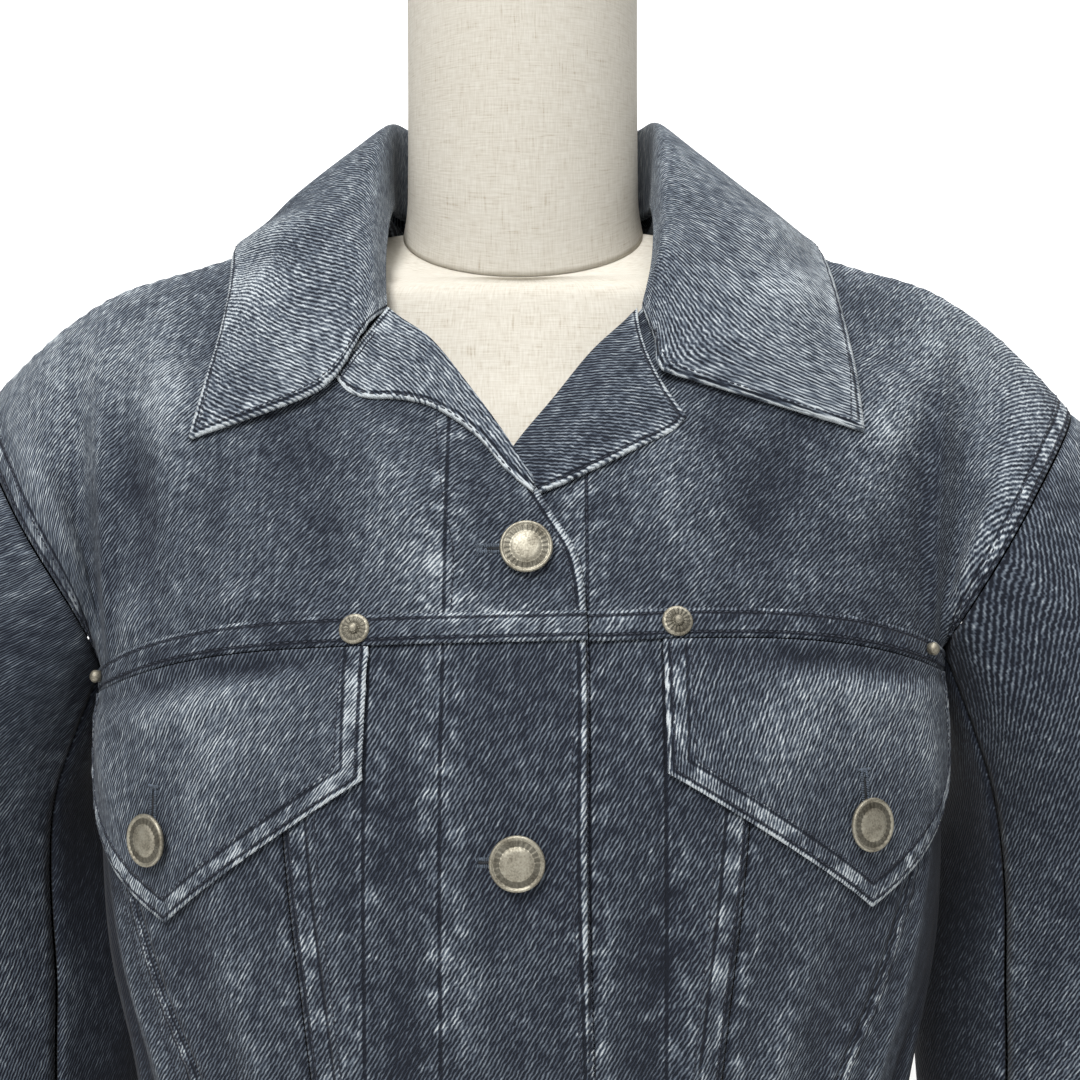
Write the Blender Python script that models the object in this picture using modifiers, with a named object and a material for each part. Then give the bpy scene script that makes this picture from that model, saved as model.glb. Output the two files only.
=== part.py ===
"""Denim jacket buttoned on a limbless dress form.

Metres, +Z up. The jacket's front faces -Y and the origin is under the middle of the base. Every cut piece of
cloth is a thin wall on one garment surface, and a place on that surface has two numbers. around is 0 at the
front centre, 1 at the side and 2 at the back centre, negative on the wearer's right. climb is 0 at the hem, 1
at the yoke seams and 2 at the shoulder seam and the neckline.
"""

import math
from collections import namedtuple

import bmesh
import bpy
import numpy as np
from mathutils import Matrix, Vector

RIGHT, LEFT = -1, 1  # the wearer's sides: RIGHT lies at -X
SIDES = (("right", RIGHT), ("left", LEFT))

# Cloth
WALL = 0.0013  # one layer of denim with its seam allowance
DOUBLED = 0.0022  # collar, lapels, flaps, cuffs and hem band
SEAM_GAP = 0.0006  # between the outer faces of neighbouring pieces, whose inner edges stand closer
TURN_GAP = 0.0012  # the same where a seam runs along a turn of the cloth
RIDGE_GAP = 0.0024  # and along the sharp ridge of the shoulder
LAY_GAP = 0.0006  # under a piece that lies on another
GIRTH_SHARE = 0.25  # metres of girth for each unit of around
YOKE_LENGTH = 0.19  # metres of cloth for each unit of climb above the yoke seams
CLOSURE_LIFT = 0.0011  # the right front stands this far out, the left front this far in
CLOSURE_FADE = (0.034, 0.062)  # half-widths between which that step dies away
BAND_STEP = 1.5  # the hem band is thicker than the fronts, so its ends step further apart
BREAK_LIFT = 0.0042  # the right front stands out further where the lapels begin
BREAK_HEIGHTS = (0.700, 0.738)

# Heights of the body
HEM = 0.273
BAND = 0.040
BAND_TOP = HEM + BAND
YOKE_FRONT = 0.687
YOKE_BACK = 0.692
UNDERARM = 0.662
FRONT_DROP_POWER = 4.0
BACK_DROP_POWER = 3.0
SEAM_LEAN = 0.0045  # how much lower the yoke seams lie on the right side than on average
SIDE_Y = -0.018
ROUNDNESS = 2 / 2.2  # 2 over the exponent of the rings' superellipse

# One row for each ring of the lower body, from the hem up.
Ring = namedtuple("Ring", "height half_width front back")
BODY = (
    Ring(0.273, 0.168, 0.101, 0.124),
    Ring(0.350, 0.159, 0.096, 0.110),
    Ring(0.430, 0.156, 0.097, 0.104),
    Ring(0.490, 0.166, 0.102, 0.111),
    Ring(0.545, 0.178, 0.106, 0.120),
    Ring(0.600, 0.181, 0.107, 0.127),
    Ring(0.640, 0.181, 0.101, 0.131),
    Ring(0.665, 0.180, 0.092, 0.133),
    Ring(0.695, 0.180, 0.080, 0.134),
)

# One row for each rib of the upper body, from the centre to the armhole. A rib climbs from the yoke seam over
# the chest, or the shoulder blade, and the slope of the shoulder to the ridge, where front and back meet.
Rib = namedtuple("Rib", "share chest_x chest_y chest_z slope_x slope_y slope_z")
FRONT_RIBS = (
    Rib(0.00, 0.000, -0.078, 0.737, 0.000, -0.046, 0.787),
    Rib(0.20, 0.055, -0.078, 0.742, 0.056, -0.044, 0.804),
    Rib(0.36, 0.096, -0.072, 0.740, 0.099, -0.040, 0.800),
    Rib(0.55, 0.139, -0.061, 0.734, 0.143, -0.034, 0.791),
    Rib(0.75, 0.172, -0.050, 0.722, 0.181, -0.029, 0.777),
    Rib(0.88, 0.184, -0.052, 0.706, 0.200, -0.038, 0.754),
    Rib(1.00, 0.186, -0.052, 0.690, 0.212, -0.050, 0.733),
)
BACK_RIBS = (
    Rib(0.00, 0.000, 0.120, 0.757, 0.000, 0.108, 0.830),
    Rib(0.20, 0.054, 0.117, 0.755, 0.055, 0.096, 0.838),
    Rib(0.36, 0.096, 0.110, 0.750, 0.099, 0.086, 0.826),
    Rib(0.55, 0.139, 0.096, 0.742, 0.143, 0.074, 0.808),
    Rib(0.75, 0.170, 0.073, 0.728, 0.180, 0.060, 0.785),
    Rib(0.88, 0.183, 0.056, 0.708, 0.200, 0.052, 0.757),
    Rib(1.00, 0.187, 0.044, 0.694, 0.213, 0.052, 0.735),
)
RIDGE_ROUND = 0.9  # how level the ribs run into the ridge

# The ribs' upper ends: the shoulder seam from the side of the neck to the armhole, and the necklines.
Ridge = namedtuple("Ridge", "share x y z")
NECK_SHARE = 0.22
SHOULDER = (
    Ridge(0.22, 0.0615, 0.014, 0.8655),
    Ridge(0.36, 0.1020, 0.012, 0.8545),
    Ridge(0.55, 0.1490, 0.011, 0.8405),
    Ridge(0.75, 0.1900, 0.010, 0.8265),
    Ridge(0.88, 0.2170, 0.008, 0.8060),
    Ridge(1.00, 0.2460, 0.004, 0.7740),
)
FRONT_NECK = (
    Ridge(0.00, 0.0000, -0.016, 0.8340),
    Ridge(0.10, 0.0290, -0.012, 0.8420),
    Ridge(0.22, 0.0615, 0.014, 0.8655),
)
BACK_NECK = (
    Ridge(0.00, 0.0000, 0.098, 0.8700),
    Ridge(0.08, 0.0330, 0.091, 0.8700),
    Ridge(0.14, 0.0545, 0.073, 0.8700),
    Ridge(0.18, 0.0628, 0.045, 0.8680),
    Ridge(0.22, 0.0615, 0.014, 0.8655),
)

# The largest folds. middle is the place around the body at mid_climb, lean how far it moves for each unit of
# climb.
Fold = namedtuple("Fold", "middle mid_climb half_climb lean half_around depth")
FOLDS = (
    Fold(-0.84, 1.45, 0.42, 0.05, 0.050, -0.010),
    Fold(-0.76, 1.42, 0.50, 0.03, 0.030, 0.003),
    Fold(0.84, 1.45, 0.42, -0.05, 0.050, -0.010),
    Fold(0.76, 1.42, 0.50, -0.03, 0.030, 0.003),
    Fold(-0.80, 0.35, 0.30, 0.05, 0.035, 0.003),
    Fold(0.82, 0.40, 0.32, -0.04, 0.035, 0.003),
    Fold(-1.14, 0.40, 0.34, 0.03, 0.040, 0.004),
    Fold(1.15, 0.36, 0.30, -0.03, 0.040, 0.004),
    Fold(-1.62, 1.40, 0.40, 0.05, 0.050, -0.003),
    Fold(1.62, 1.40, 0.40, -0.05, 0.050, -0.003),
)


def smooth(low, high, value):
    """0 below low, 1 above high and an even S between them."""
    share = np.clip((value - low) / (high - low), 0, 1)
    return share * share * (3 - 2 * share)


def hermite(start, end, start_slope, end_slope, t):
    """A cubic from start to end with a slope at each end."""
    return (
        start * (1 + 2 * t) * (1 - t) ** 2
        + start_slope * t * (1 - t) ** 2
        + end * t * t * (3 - 2 * t)
        + end_slope * t * t * (t - 1)
    )


def read(rows, at, column):
    """One column of a table, along a smooth curve through its rows, which are sorted by their first column."""
    keys = np.array([row[0] for row in rows])
    values = np.array([getattr(row, column) for row in rows])
    slopes = np.gradient(values, keys)
    at = np.clip(at, keys[0], keys[-1])
    k = np.clip(np.searchsorted(keys, at) - 1, 0, len(keys) - 2)
    step = keys[k + 1] - keys[k]
    return hermite(values[k], values[k + 1], slopes[k] * step, slopes[k + 1] * step, (at - keys[k]) / step)


def read_point(rows, at, prefix=""):
    """The x, y and z columns that share a prefix."""
    return np.stack([read(rows, at, prefix + axis) for axis in "xyz"], axis=-1)


def with_mirror(rows):
    """The rows of both halves, from the wearer's right armhole to the left one."""
    flipped = [name for name in rows[0]._fields if name in ("share", "x") or name.endswith("_x")]
    right = [row._replace(**{name: -getattr(row, name) for name in flipped}) for row in rows[:0:-1]]
    return (*right, *rows)


FRONT_RIBS, BACK_RIBS = with_mirror(FRONT_RIBS), with_mirror(BACK_RIBS)
FRONT_NECK, BACK_NECK = with_mirror(FRONT_NECK), with_mirror(BACK_NECK)


def ring_point(around, height):
    """A point of the lower body at a height."""
    angle = np.abs(around) * math.pi / 2
    depth = np.where(angle < math.pi / 2, read(BODY, height, "front"), read(BODY, height, "back"))
    cosine = np.sign(np.cos(angle)) * np.abs(np.cos(angle)) ** ROUNDNESS
    x = np.sign(around) * read(BODY, height, "half_width") * np.abs(np.sin(angle)) ** ROUNDNESS
    return np.stack([x, SIDE_Y - depth * cosine, height + 0 * angle], axis=-1)


def yoke_seam(around):
    """The height of the yoke seams, which drop to the underarm."""
    sine = np.sin(around * math.pi / 2)
    front = YOKE_FRONT - (YOKE_FRONT - UNDERARM) * np.abs(sine) ** FRONT_DROP_POWER
    back = YOKE_BACK - (YOKE_BACK - UNDERARM) * np.abs(sine) ** BACK_DROP_POWER
    return np.where(np.abs(around) < 1, front, back) + SEAM_LEAN * sine


def climb_of(around, height):
    """The climb of a height on the lower body."""
    return (height - HEM) / (yoke_seam(around) - HEM)


def ridge_point(share, back):
    """The upper end of a rib."""
    neck = np.where(back[..., None], read_point(BACK_NECK, share), read_point(FRONT_NECK, share))
    shoulder = read_point(SHOULDER, np.abs(share))
    shoulder[..., 0] *= np.sign(share)
    return np.where((np.abs(share) < NECK_SHARE)[..., None], neck, shoulder)


def rib_point(around, climb):
    """A point of the upper body. climb here is 0 at the yoke seam and 1 at the ridge."""
    back = np.abs(around) > 1
    share = np.where(back, np.sign(around) * (2 - np.abs(around)), around)
    foot = ring_point(around, yoke_seam(around))
    chest, slope = (
        np.where(back[..., None], read_point(BACK_RIBS, share, name), read_point(FRONT_RIBS, share, name))
        for name in ("chest_", "slope_")
    )
    ridge = ridge_point(share, back)
    stations = [foot, chest, slope, ridge]
    level = (ridge - slope) * np.array([0.0, RIDGE_ROUND, 0.0])
    slopes = [chest - foot, (slope - foot) / 2, (ridge - chest) / 2, level]
    part = np.clip(climb * 3, 0, 3)
    k = np.clip(np.floor(part), 0, 2)
    t = (part - k)[..., None]
    result = np.zeros_like(foot)
    for i in range(3):
        here = hermite(stations[i], stations[i + 1], slopes[i], slopes[i + 1], t)
        result = np.where((k == i)[..., None], here, result)
    return result


def base_point(around, climb):
    """A point of the garment surface before its folds."""
    around, climb = np.broadcast_arrays(np.asarray(around, float), np.asarray(climb, float))
    around = np.where(np.abs(around) > 2, around - 4 * np.sign(around), around)
    low = ring_point(around, HEM + np.clip(climb, 0, 1) * (yoke_seam(around) - HEM))
    return np.where((climb > 1)[..., None], rib_point(around, climb - 1), low)


def normals(surface, around, climb):
    """Outward unit normals of a surface function. Above the underarm, front and back are separate."""
    step, past_side = 0.004, 1 + 1e-9
    left, right = around - step, around + step
    upper = climb > 1
    front = upper & (np.abs(around) <= 1)
    left_back, right_back = upper & (around > 1), upper & (around < -1)
    left = np.where(front, np.maximum(left, -1), np.where(left_back, np.maximum(left, past_side), left))
    right = np.where(front, np.minimum(right, 1), np.where(right_back, np.minimum(right, -past_side), right))
    across = surface(right, climb) - surface(left, climb)
    up = surface(around, np.minimum(climb + step, 2)) - surface(around, np.maximum(climb - step, 0))
    found = np.cross(across, up)
    return found / np.maximum(np.linalg.norm(found, axis=-1, keepdims=True), 1e-9)


def fold_depth(around, climb):
    """How far the folds push the cloth out, or in below zero."""
    total = np.zeros_like(around)
    for fold in FOLDS:
        middle = fold.middle + fold.lean * (climb - fold.mid_climb)
        along = np.clip(1 - ((climb - fold.mid_climb) / fold.half_climb) ** 2, 0, 1)
        total = total + fold.depth * along**1.5 * np.exp(-(((around - middle) / fold.half_around) ** 2))
    return total


def cloth_point(around, climb):
    """A point of the garment's outer face, folds and all."""
    around, climb = np.broadcast_arrays(np.asarray(around, float), np.asarray(climb, float))
    depth = fold_depth(around, climb)[..., None]
    return base_point(around, climb) + depth * normals(base_point, around, climb)


def on_cloth(around, climb, lift=0.0):
    """A point that stands lift off the garment's outer face."""
    around, climb = np.broadcast_arrays(np.asarray(around, float), np.asarray(climb, float))
    lift = np.broadcast_to(lift, around.shape)
    return cloth_point(around, climb) + lift[..., None] * normals(cloth_point, around, climb)


def place_of(x, height):
    """(around, climb) of the front's cloth that shows at x and a height, seen from the front."""
    x, height = np.broadcast_arrays(np.asarray(x, float), np.asarray(height, float))
    around = x / GIRTH_SHARE
    climb = 1 + (height - YOKE_FRONT) / np.where(height > YOKE_FRONT, YOKE_LENGTH, YOKE_FRONT - HEM)
    step, stride = 0.002, 0.2
    for _ in range(14):
        here = base_point(around, climb)
        by_around = (base_point(around + step, climb) - here) / step
        by_climb = (base_point(around, climb + step) - here) / step
        miss_x, miss_z = x - here[..., 0], height - here[..., 2]
        area = by_around[..., 0] * by_climb[..., 2] - by_climb[..., 0] * by_around[..., 2]
        turn = (miss_x * by_climb[..., 2] - miss_z * by_climb[..., 0]) / area
        rise = (miss_z * by_around[..., 0] - miss_x * by_around[..., 2]) / area
        around = around + np.clip(turn, -stride, stride)
        climb = climb + np.clip(rise, -stride, stride)
        climb = np.clip(climb, 0.02, 1.99)
    return around, climb


# The edge of each front from the hem up: the free edge, the break, the roll of the lapel and the neckline.
# Positive is on the front's own side of the centre. over is the right front, which closes over the left.
Edge = namedtuple("Edge", "height over under")
FRONT_EDGE = (
    Edge(0.273, -0.0300, -0.0240),
    Edge(0.520, -0.0296, -0.0240),
    Edge(0.600, -0.0272, -0.0240),
    Edge(0.687, -0.0272, -0.0240),
    Edge(0.702, -0.0262, -0.0225),
    Edge(0.716, -0.0226, -0.0190),
    Edge(0.728, -0.0146, -0.0150),
    Edge(0.7385, -0.0075, -0.0110),
    Edge(0.7536, 0.0030, -0.0030),
    Edge(0.776, 0.0205, 0.0150),
    Edge(0.797, 0.0375, 0.0320),
    Edge(0.8155, 0.0560, 0.0510),
    Edge(0.840, 0.0612, 0.0605),
    Edge(0.8655, 0.0615, 0.0615),
)
BREAK_HEIGHT = 0.7385
GORGE_HEIGHT = 0.8145


def edge_name(side):
    return "over" if side == RIGHT else "under"


def front_edge(side, height):
    """Signed x of a front's edge at a height."""
    return side * read(FRONT_EDGE, height, edge_name(side))


def edge_around(side, climb):
    """The place around the body where a front's edge crosses a line of even climb."""
    low, high = np.full_like(climb, -0.35), np.full_like(climb, 0.6)
    for _ in range(26):
        middle = (low + high) / 2
        point = base_point(side * middle, climb)
        short = side * point[..., 0] < side * front_edge(side, point[..., 2])
        low, high = np.where(short, middle, low), np.where(short, high, middle)
    return side * (low + high) / 2


def closure_lift(side, x, height):
    """How far a front stands out, or in, where the two fronts lie on each other."""
    near = 1 - smooth(*CLOSURE_FADE, np.abs(x))
    if side == LEFT:
        return -CLOSURE_LIFT * near
    return (CLOSURE_LIFT + BREAK_LIFT * smooth(*BREAK_HEIGHTS, height)) * near


def on_front(side, around, climb, lift=0.0):
    """A point off the outer face of one front, with the step of the closure."""
    seen = base_point(around, climb)
    return on_cloth(around, climb, lift + closure_lift(side, seen[..., 0], seen[..., 2]))


# Making the pieces


def clear_scene():
    for obj in list(bpy.data.objects):
        bpy.data.objects.remove(obj)


def material(name, colour, roughness, metallic=0.0):
    found = bpy.data.materials.get(name)
    if found:
        return found
    made = bpy.data.materials.new(name)
    made.use_nodes = True
    shader = made.node_tree.nodes["Principled BSDF"]
    shader.inputs["Base Color"].default_value = (*colour, 1)
    shader.inputs["Roughness"].default_value = roughness
    shader.inputs["Metallic"].default_value = metallic
    return made


def denim(name, fade=1.0):
    """Washed blue-grey denim. fade above 1 is paler."""
    return material(name + "_denim", (0.085 * fade, 0.105 * fade, 0.135 * fade), 0.9)


def add_object(name, mesh, finish):
    mesh.name = name
    mesh.materials.append(finish)
    obj = bpy.data.objects.new(name, mesh)
    PARTS.objects.link(obj)
    return obj


def grid(columns, rows, point, wrap=False):
    """A bmesh grid whose vertices are moved to point(across, up), both from 0 to 1."""
    bm = bmesh.new()
    bmesh.ops.create_grid(bm, x_segments=columns, y_segments=rows, size=0.5)
    across = np.array([v.co.x + 0.5 for v in bm.verts])
    up = np.array([v.co.y + 0.5 for v in bm.verts])
    for vert, place in zip(bm.verts, point(across, up)):
        vert.co = place
    if wrap:
        bmesh.ops.remove_doubles(bm, verts=bm.verts, dist=1e-5)
    return bm


def wall(name, columns, rows, point, finish, thickness=WALL, flip=False, wrap=False):
    """A piece of cloth: its outer face is the grid, and its thickness lies inside."""
    bm = grid(columns, rows, point, wrap)
    if flip:
        bmesh.ops.reverse_faces(bm, faces=bm.faces)
    mesh = bpy.data.meshes.new(name)
    bm.to_mesh(mesh)
    bm.free()
    mesh.shade_smooth()
    obj = add_object(name, mesh, finish)
    shell = obj.modifiers.new("wall", "SOLIDIFY")
    shell.thickness = thickness
    shell.offset = -1
    return obj


def inset(share, margin):
    """Squeezes 0 to 1 into margin to 1 - margin."""
    return margin + share * (1 - 2 * margin)


def turned(name, profile, steps, matrix, finish):
    """A solid of revolution. The profile of radius and height starts and ends on the axis, top first."""
    bm = bmesh.new()
    verts = [bm.verts.new((radius, 0, height)) for radius, height in profile]
    for start, end in zip(verts, verts[1:]):
        bm.edges.new((start, end))
    mesh = bpy.data.meshes.new(name)
    bm.to_mesh(mesh)
    bm.free()
    obj = add_object(name, mesh, finish)
    obj.matrix_world = matrix
    screw = obj.modifiers.new("turn", "SCREW")
    screw.steps = screw.render_steps = steps
    screw.use_merge_vertices = True
    screw.merge_threshold = 0.00001
    return obj


def facing(point, normal):
    """A matrix that puts an object at a point with its Z along a normal."""
    return Matrix.Translation(Vector(point)) @ Vector(normal).to_track_quat("Z", "Y").to_matrix().to_4x4()


# Lower body: its seams on one side. The front ones are an x at a height, the back ones a place around.
Seam = namedtuple("Seam", "height front_seam curved_seam side_back back_seam")
SEAMS = (
    Seam(0.273, 0.066, 0.098, 1.30, 1.66),
    Seam(0.390, 0.070, 0.104, 1.30, 1.66),
    Seam(0.450, 0.073, 0.111, 1.30, 1.65),
    Seam(0.510, 0.0765, 0.1235, 1.30, 1.63),
    Seam(0.545, 0.080, 0.139, 1.30, 1.62),
    Seam(0.580, 0.084, 0.152, 1.30, 1.61),
    Seam(0.620, 0.088, 0.163, 1.30, 1.60),
    Seam(0.692, 0.092, 0.171, 1.30, 1.58),
)
LOWER_ROWS = 11  # the same on every panel, so that neighbours' edges follow each other


def around_of(x, height):
    """The place around the body of an x on the front of the lower body."""
    sine = np.clip(x / read(BODY, height, "half_width"), -1, 1)
    return np.sign(sine) * np.arcsin(np.abs(sine) ** (1 / ROUNDNESS)) / (math.pi / 2)


def seam_around(seam, side, height):
    """The place around the body of a seam of the lower body, or of the front's free edge."""
    if seam == "edge":
        return around_of(front_edge(side, height), height)
    if seam in ("side_back", "back_seam"):
        return side * read(SEAMS, height, seam)
    return around_of(side * read(SEAMS, height, seam), height)


def lower_point(side, start, end, across, up):
    """(around, climb) of a point between two seams of the lower body, half a seam gap inside each edge."""
    around = seam_around(start, side, BAND_TOP + up * (YOKE_FRONT - BAND_TOP))
    for _ in range(6):
        bottom = BAND_TOP + SEAM_GAP / 2
        height = bottom + up * (yoke_seam(around) - SEAM_GAP / 2 - bottom)
        first = seam_around(start, side, height)
        last = seam_around(end, side, height)
        margin = SEAM_GAP / 2 / (np.abs(last - first) * GIRTH_SHARE)
        around = first + inset(across, margin) * (last - first)
    return around, climb_of(around, height)


def lower_panels():
    """The panels between the hem band and the yoke seams."""
    pieces = (
        ("centre_front", "edge", "front_seam", 6, 1.00),
        ("mid_front", "front_seam", "curved_seam", 5, 0.95),
        ("side_panel", "curved_seam", "side_back", 7, 0.90),
        ("back_side", "side_back", "back_seam", 6, 0.95),
    )
    for side_name, side in SIDES:
        for name, start, end, columns, fade in pieces:

            def point(across, up):
                place = lower_point(side, start, end, across, up)
                return on_front(side, *place) if start == "edge" else on_cloth(*place)

            wall(f"{name}_{side_name}", columns, LOWER_ROWS, point, denim(name, fade), flip=side == RIGHT)

    def back_centre(across, up):
        offset = 2 * across - 1
        side = np.where(offset < 0, RIGHT, LEFT)
        around = 2 * side
        for _ in range(6):
            bottom = BAND_TOP + SEAM_GAP / 2
            height = bottom + up * (yoke_seam(around) - SEAM_GAP / 2 - bottom)
            reach = 2 - read(SEAMS, height, "back_seam") - SEAM_GAP / 2 / GIRTH_SHARE
            around = side * (2 - np.abs(offset) * reach)
        return on_cloth(around, climb_of(around, height))

    wall("back_centre", 8, LOWER_ROWS, back_centre, denim("back_centre"), flip=True)


# Upper body


def yoke_climb(up):
    """Inside the yoke seam by half a seam gap, and inside the ridge by half the gap there."""
    return 1 + SEAM_GAP / 2 / YOKE_LENGTH + up * (1 - (SEAM_GAP + RIDGE_GAP) / 2 / YOKE_LENGTH)


def front_yoke(side_name, side):
    def point(across, up):
        climb = yoke_climb(up)
        first = edge_around(side, climb)
        last = side * (1 - SEAM_GAP / 2 / GIRTH_SHARE)
        return on_front(side, first + across * (last - first), climb)

    wall(f"front_yoke_{side_name}", 14, 12, point, denim("yoke"), flip=side == RIGHT)


def back_yoke():
    def point(across, up):
        climb = yoke_climb(up)
        offset = (2 * across - 1) * (1 - SEAM_GAP / 2 / GIRTH_SHARE)
        return on_cloth(np.where(offset < 0, RIGHT, LEFT) * (2 - np.abs(offset)), climb)

    wall("back_yoke", 20, 9, point, denim("yoke"), flip=True)


# What lies on the fronts

STRIP_WIDTH = 0.012
STRIP_END = 0.955  # place around the body where a strip's tab ends
FLAP_INNER, FLAP_OUTER = 0.178, 0.860  # places around the body of a flap's sides
FLAP_INNER_FOOT = 0.0475  # below the strip
FLAP_OUTER_FOOT = 0.0430
FLAP_POINT = 0.098
FLAP_BOW = 0.0025  # how far each lower edge bows out
FLAP_PUFF = 0.0006


def strip_climb(around, below):
    """The climb at a distance below the front yoke seam."""
    return np.where(below > 0, climb_of(around, yoke_seam(around) - below), 1 - below / YOKE_LENGTH)


def yoke_strip(side_name, side):
    """A strip on the yoke seam. The left one starts beside the right front's edge."""

    def point(across, up):
        below = (0.5 - up) * STRIP_WIDTH
        start = front_edge(RIGHT, YOKE_FRONT) + (0 if side == RIGHT else LAY_GAP)
        first = around_of(start, YOKE_FRONT)
        around = first + across * (side * STRIP_END - first)
        return on_front(side, around, strip_climb(around, below), LAY_GAP + WALL)

    wall(f"yoke_strip_{side_name}", 20, 1, point, denim("strip", 1.2), flip=side == RIGHT)


def pocket_flap(side_name, side):
    def point(across, up):
        around = side * (FLAP_INNER + across * (FLAP_OUTER - FLAP_INNER))
        corner = FLAP_INNER_FOOT + across * (FLAP_OUTER_FOOT - FLAP_INNER_FOOT)
        to_side = np.abs(2 * across - 1)
        foot = corner + (FLAP_POINT - corner) * (1 - to_side) + FLAP_BOW * np.sin(math.pi * to_side)
        below = STRIP_WIDTH / 2 + SEAM_GAP + (1 - up) * foot
        lift = LAY_GAP + DOUBLED + FLAP_PUFF * np.sin(math.pi * up)
        return on_cloth(around, strip_climb(around, below), lift)

    wall(f"pocket_flap_{side_name}", 12, 6, point, denim("flap", 1.1), DOUBLED, flip=side == RIGHT)


# The outer edge of each lapel from the break to its corner, x on the lapel's own side. bow is how far out
# the cloth bends halfway to the roll.
LapelEdge = namedtuple("LapelEdge", "share over_x over_z over_bow under_x under_z under_bow")
LAPEL_EDGE = (
    LapelEdge(0.00, -0.0070, 0.7350, 0.0000, -0.0060, 0.7340, 0.0000),
    LapelEdge(0.12, 0.0035, 0.7430, 0.0000, 0.0045, 0.7365, 0.0000),
    LapelEdge(0.30, 0.0165, 0.7570, 0.0000, 0.0170, 0.7410, 0.0000),
    LapelEdge(0.50, 0.0320, 0.7680, 0.0000, 0.0310, 0.7475, 0.0000),
    LapelEdge(0.72, 0.0485, 0.7745, 0.0000, 0.0480, 0.7555, 0.0000),
    LapelEdge(0.93, 0.0705, 0.7800, 0.0005, 0.0640, 0.7635, -0.0020),
    LapelEdge(1.00, 0.0755, 0.7860, 0.0010, 0.0680, 0.7680, -0.0045),
)
LAPEL_ROLL = 0.0012  # how much further a lapel stands at its roll


def lapel(side_name, side):
    """A lapel from its roll to its outer edge, and from the break up to the gorge."""

    def point(across, up):
        up = inset(up, 0.004)
        name = edge_name(side)
        height = BREAK_HEIGHT + up * (GORGE_HEIGHT - BREAK_HEIGHT)
        roll = front_edge(side, height)
        bow = side * read(LAPEL_EDGE, up, name + "_bow") * 4 * across * (1 - across)
        x = roll + across * (side * read(LAPEL_EDGE, up, name + "_x") - roll) + bow
        place = place_of(x, height + across * (read(LAPEL_EDGE, up, name + "_z") - height))
        return on_front(side, *place, LAY_GAP + DOUBLED + LAPEL_ROLL * (1 - across) ** 2)

    wall(f"lapel_{side_name}", 5, 9, point, denim("lapel", 1.2), DOUBLED, flip=side == RIGHT)


# Collar: one row for each section, from the front end on the wearer's right round the back to the left one.
# A section climbs from the neckline to the roll and falls over the yoke to the collar's edge. share and over
# are a place on the yokes: over is 0 on the ridge, 1 at the front yoke seam and -1 at the back one.
Section = namedtuple(
    "Section",
    "station base_x base_y base_z roll_x roll_y roll_z mid_share mid_over mid_lift edge_share edge_over edge_lift",
)
COLLAR = (
    Section(-1.00, -0.0558, -0.0385, 0.8160, -0.0632, -0.0490, 0.8080, -0.290, 0.466, 0.0060, -0.526, 0.526, 0.0036),
    Section(-0.90, -0.0578, -0.0245, 0.8360, -0.0665, -0.0290, 0.8400, -0.345, 0.290, 0.0080, -0.492, 0.370, 0.0040),
    Section(-0.78, -0.0583, -0.0110, 0.8530, -0.0682, -0.0085, 0.8650, -0.350, 0.130, 0.0120, -0.466, 0.220, 0.0045),
    Section(-0.58, -0.0580, 0.0140, 0.8690, -0.0665, 0.0280, 0.9050, -0.350, 0.010, 0.0190, -0.457, 0.010, 0.0050),
    Section(-0.42, -0.0585, 0.0440, 0.8710, -0.0625, 0.0580, 0.9190, -0.295, -0.150, 0.0200, -0.400, -0.180, 0.0070),
    Section(-0.32, -0.0505, 0.0680, 0.8715, -0.0550, 0.0775, 0.9195, -0.205, -0.170, 0.0220, -0.320, -0.270, 0.0075),
    Section(-0.22, -0.0350, 0.0845, 0.8720, -0.0400, 0.0935, 0.9185, -0.120, -0.070, 0.0190, -0.215, -0.330, 0.0075),
    Section(0.00, 0.0000, 0.0945, 0.8720, 0.0000, 0.1060, 0.9170, 0.000, -0.050, 0.0200, 0.000, -0.260, 0.0070),
    Section(0.22, 0.0350, 0.0845, 0.8720, 0.0400, 0.0935, 0.9185, 0.120, -0.070, 0.0190, 0.215, -0.330, 0.0075),
    Section(0.32, 0.0505, 0.0680, 0.8715, 0.0550, 0.0775, 0.9195, 0.205, -0.170, 0.0220, 0.320, -0.270, 0.0075),
    Section(0.42, 0.0585, 0.0440, 0.8710, 0.0625, 0.0580, 0.9190, 0.295, -0.150, 0.0200, 0.400, -0.180, 0.0070),
    Section(0.58, 0.0580, 0.0140, 0.8690, 0.0665, 0.0280, 0.9050, 0.350, 0.010, 0.0190, 0.467, 0.010, 0.0050),
    Section(0.78, 0.0583, -0.0110, 0.8530, 0.0682, -0.0085, 0.8650, 0.370, 0.130, 0.0120, 0.510, 0.190, 0.0045),
    Section(0.90, 0.0562, -0.0250, 0.8355, 0.0645, -0.0290, 0.8395, 0.350, 0.300, 0.0080, 0.540, 0.350, 0.0040),
    Section(1.00, 0.0517, -0.0385, 0.8170, 0.0560, -0.0490, 0.8030, 0.216, 0.438, 0.0065, 0.555, 0.500, 0.0036),
)
ROLL_AT, MID_AT = 0.28, 0.62  # where a section's roll and its middle lie along it
ROLL_TURN = 0.9  # how far a section runs on before it turns over the roll


def over_shoulder(share, over, lift):
    """A point that stands lift off the yokes, counted from the shoulder seam."""
    around = np.where(over >= 0, share, np.where(share < 0, RIGHT, LEFT) * (2 - np.abs(share)))
    return on_cloth(around, 2 - np.abs(over), lift)


def length(vectors):
    return np.linalg.norm(vectors, axis=-1, keepdims=True)


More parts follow.
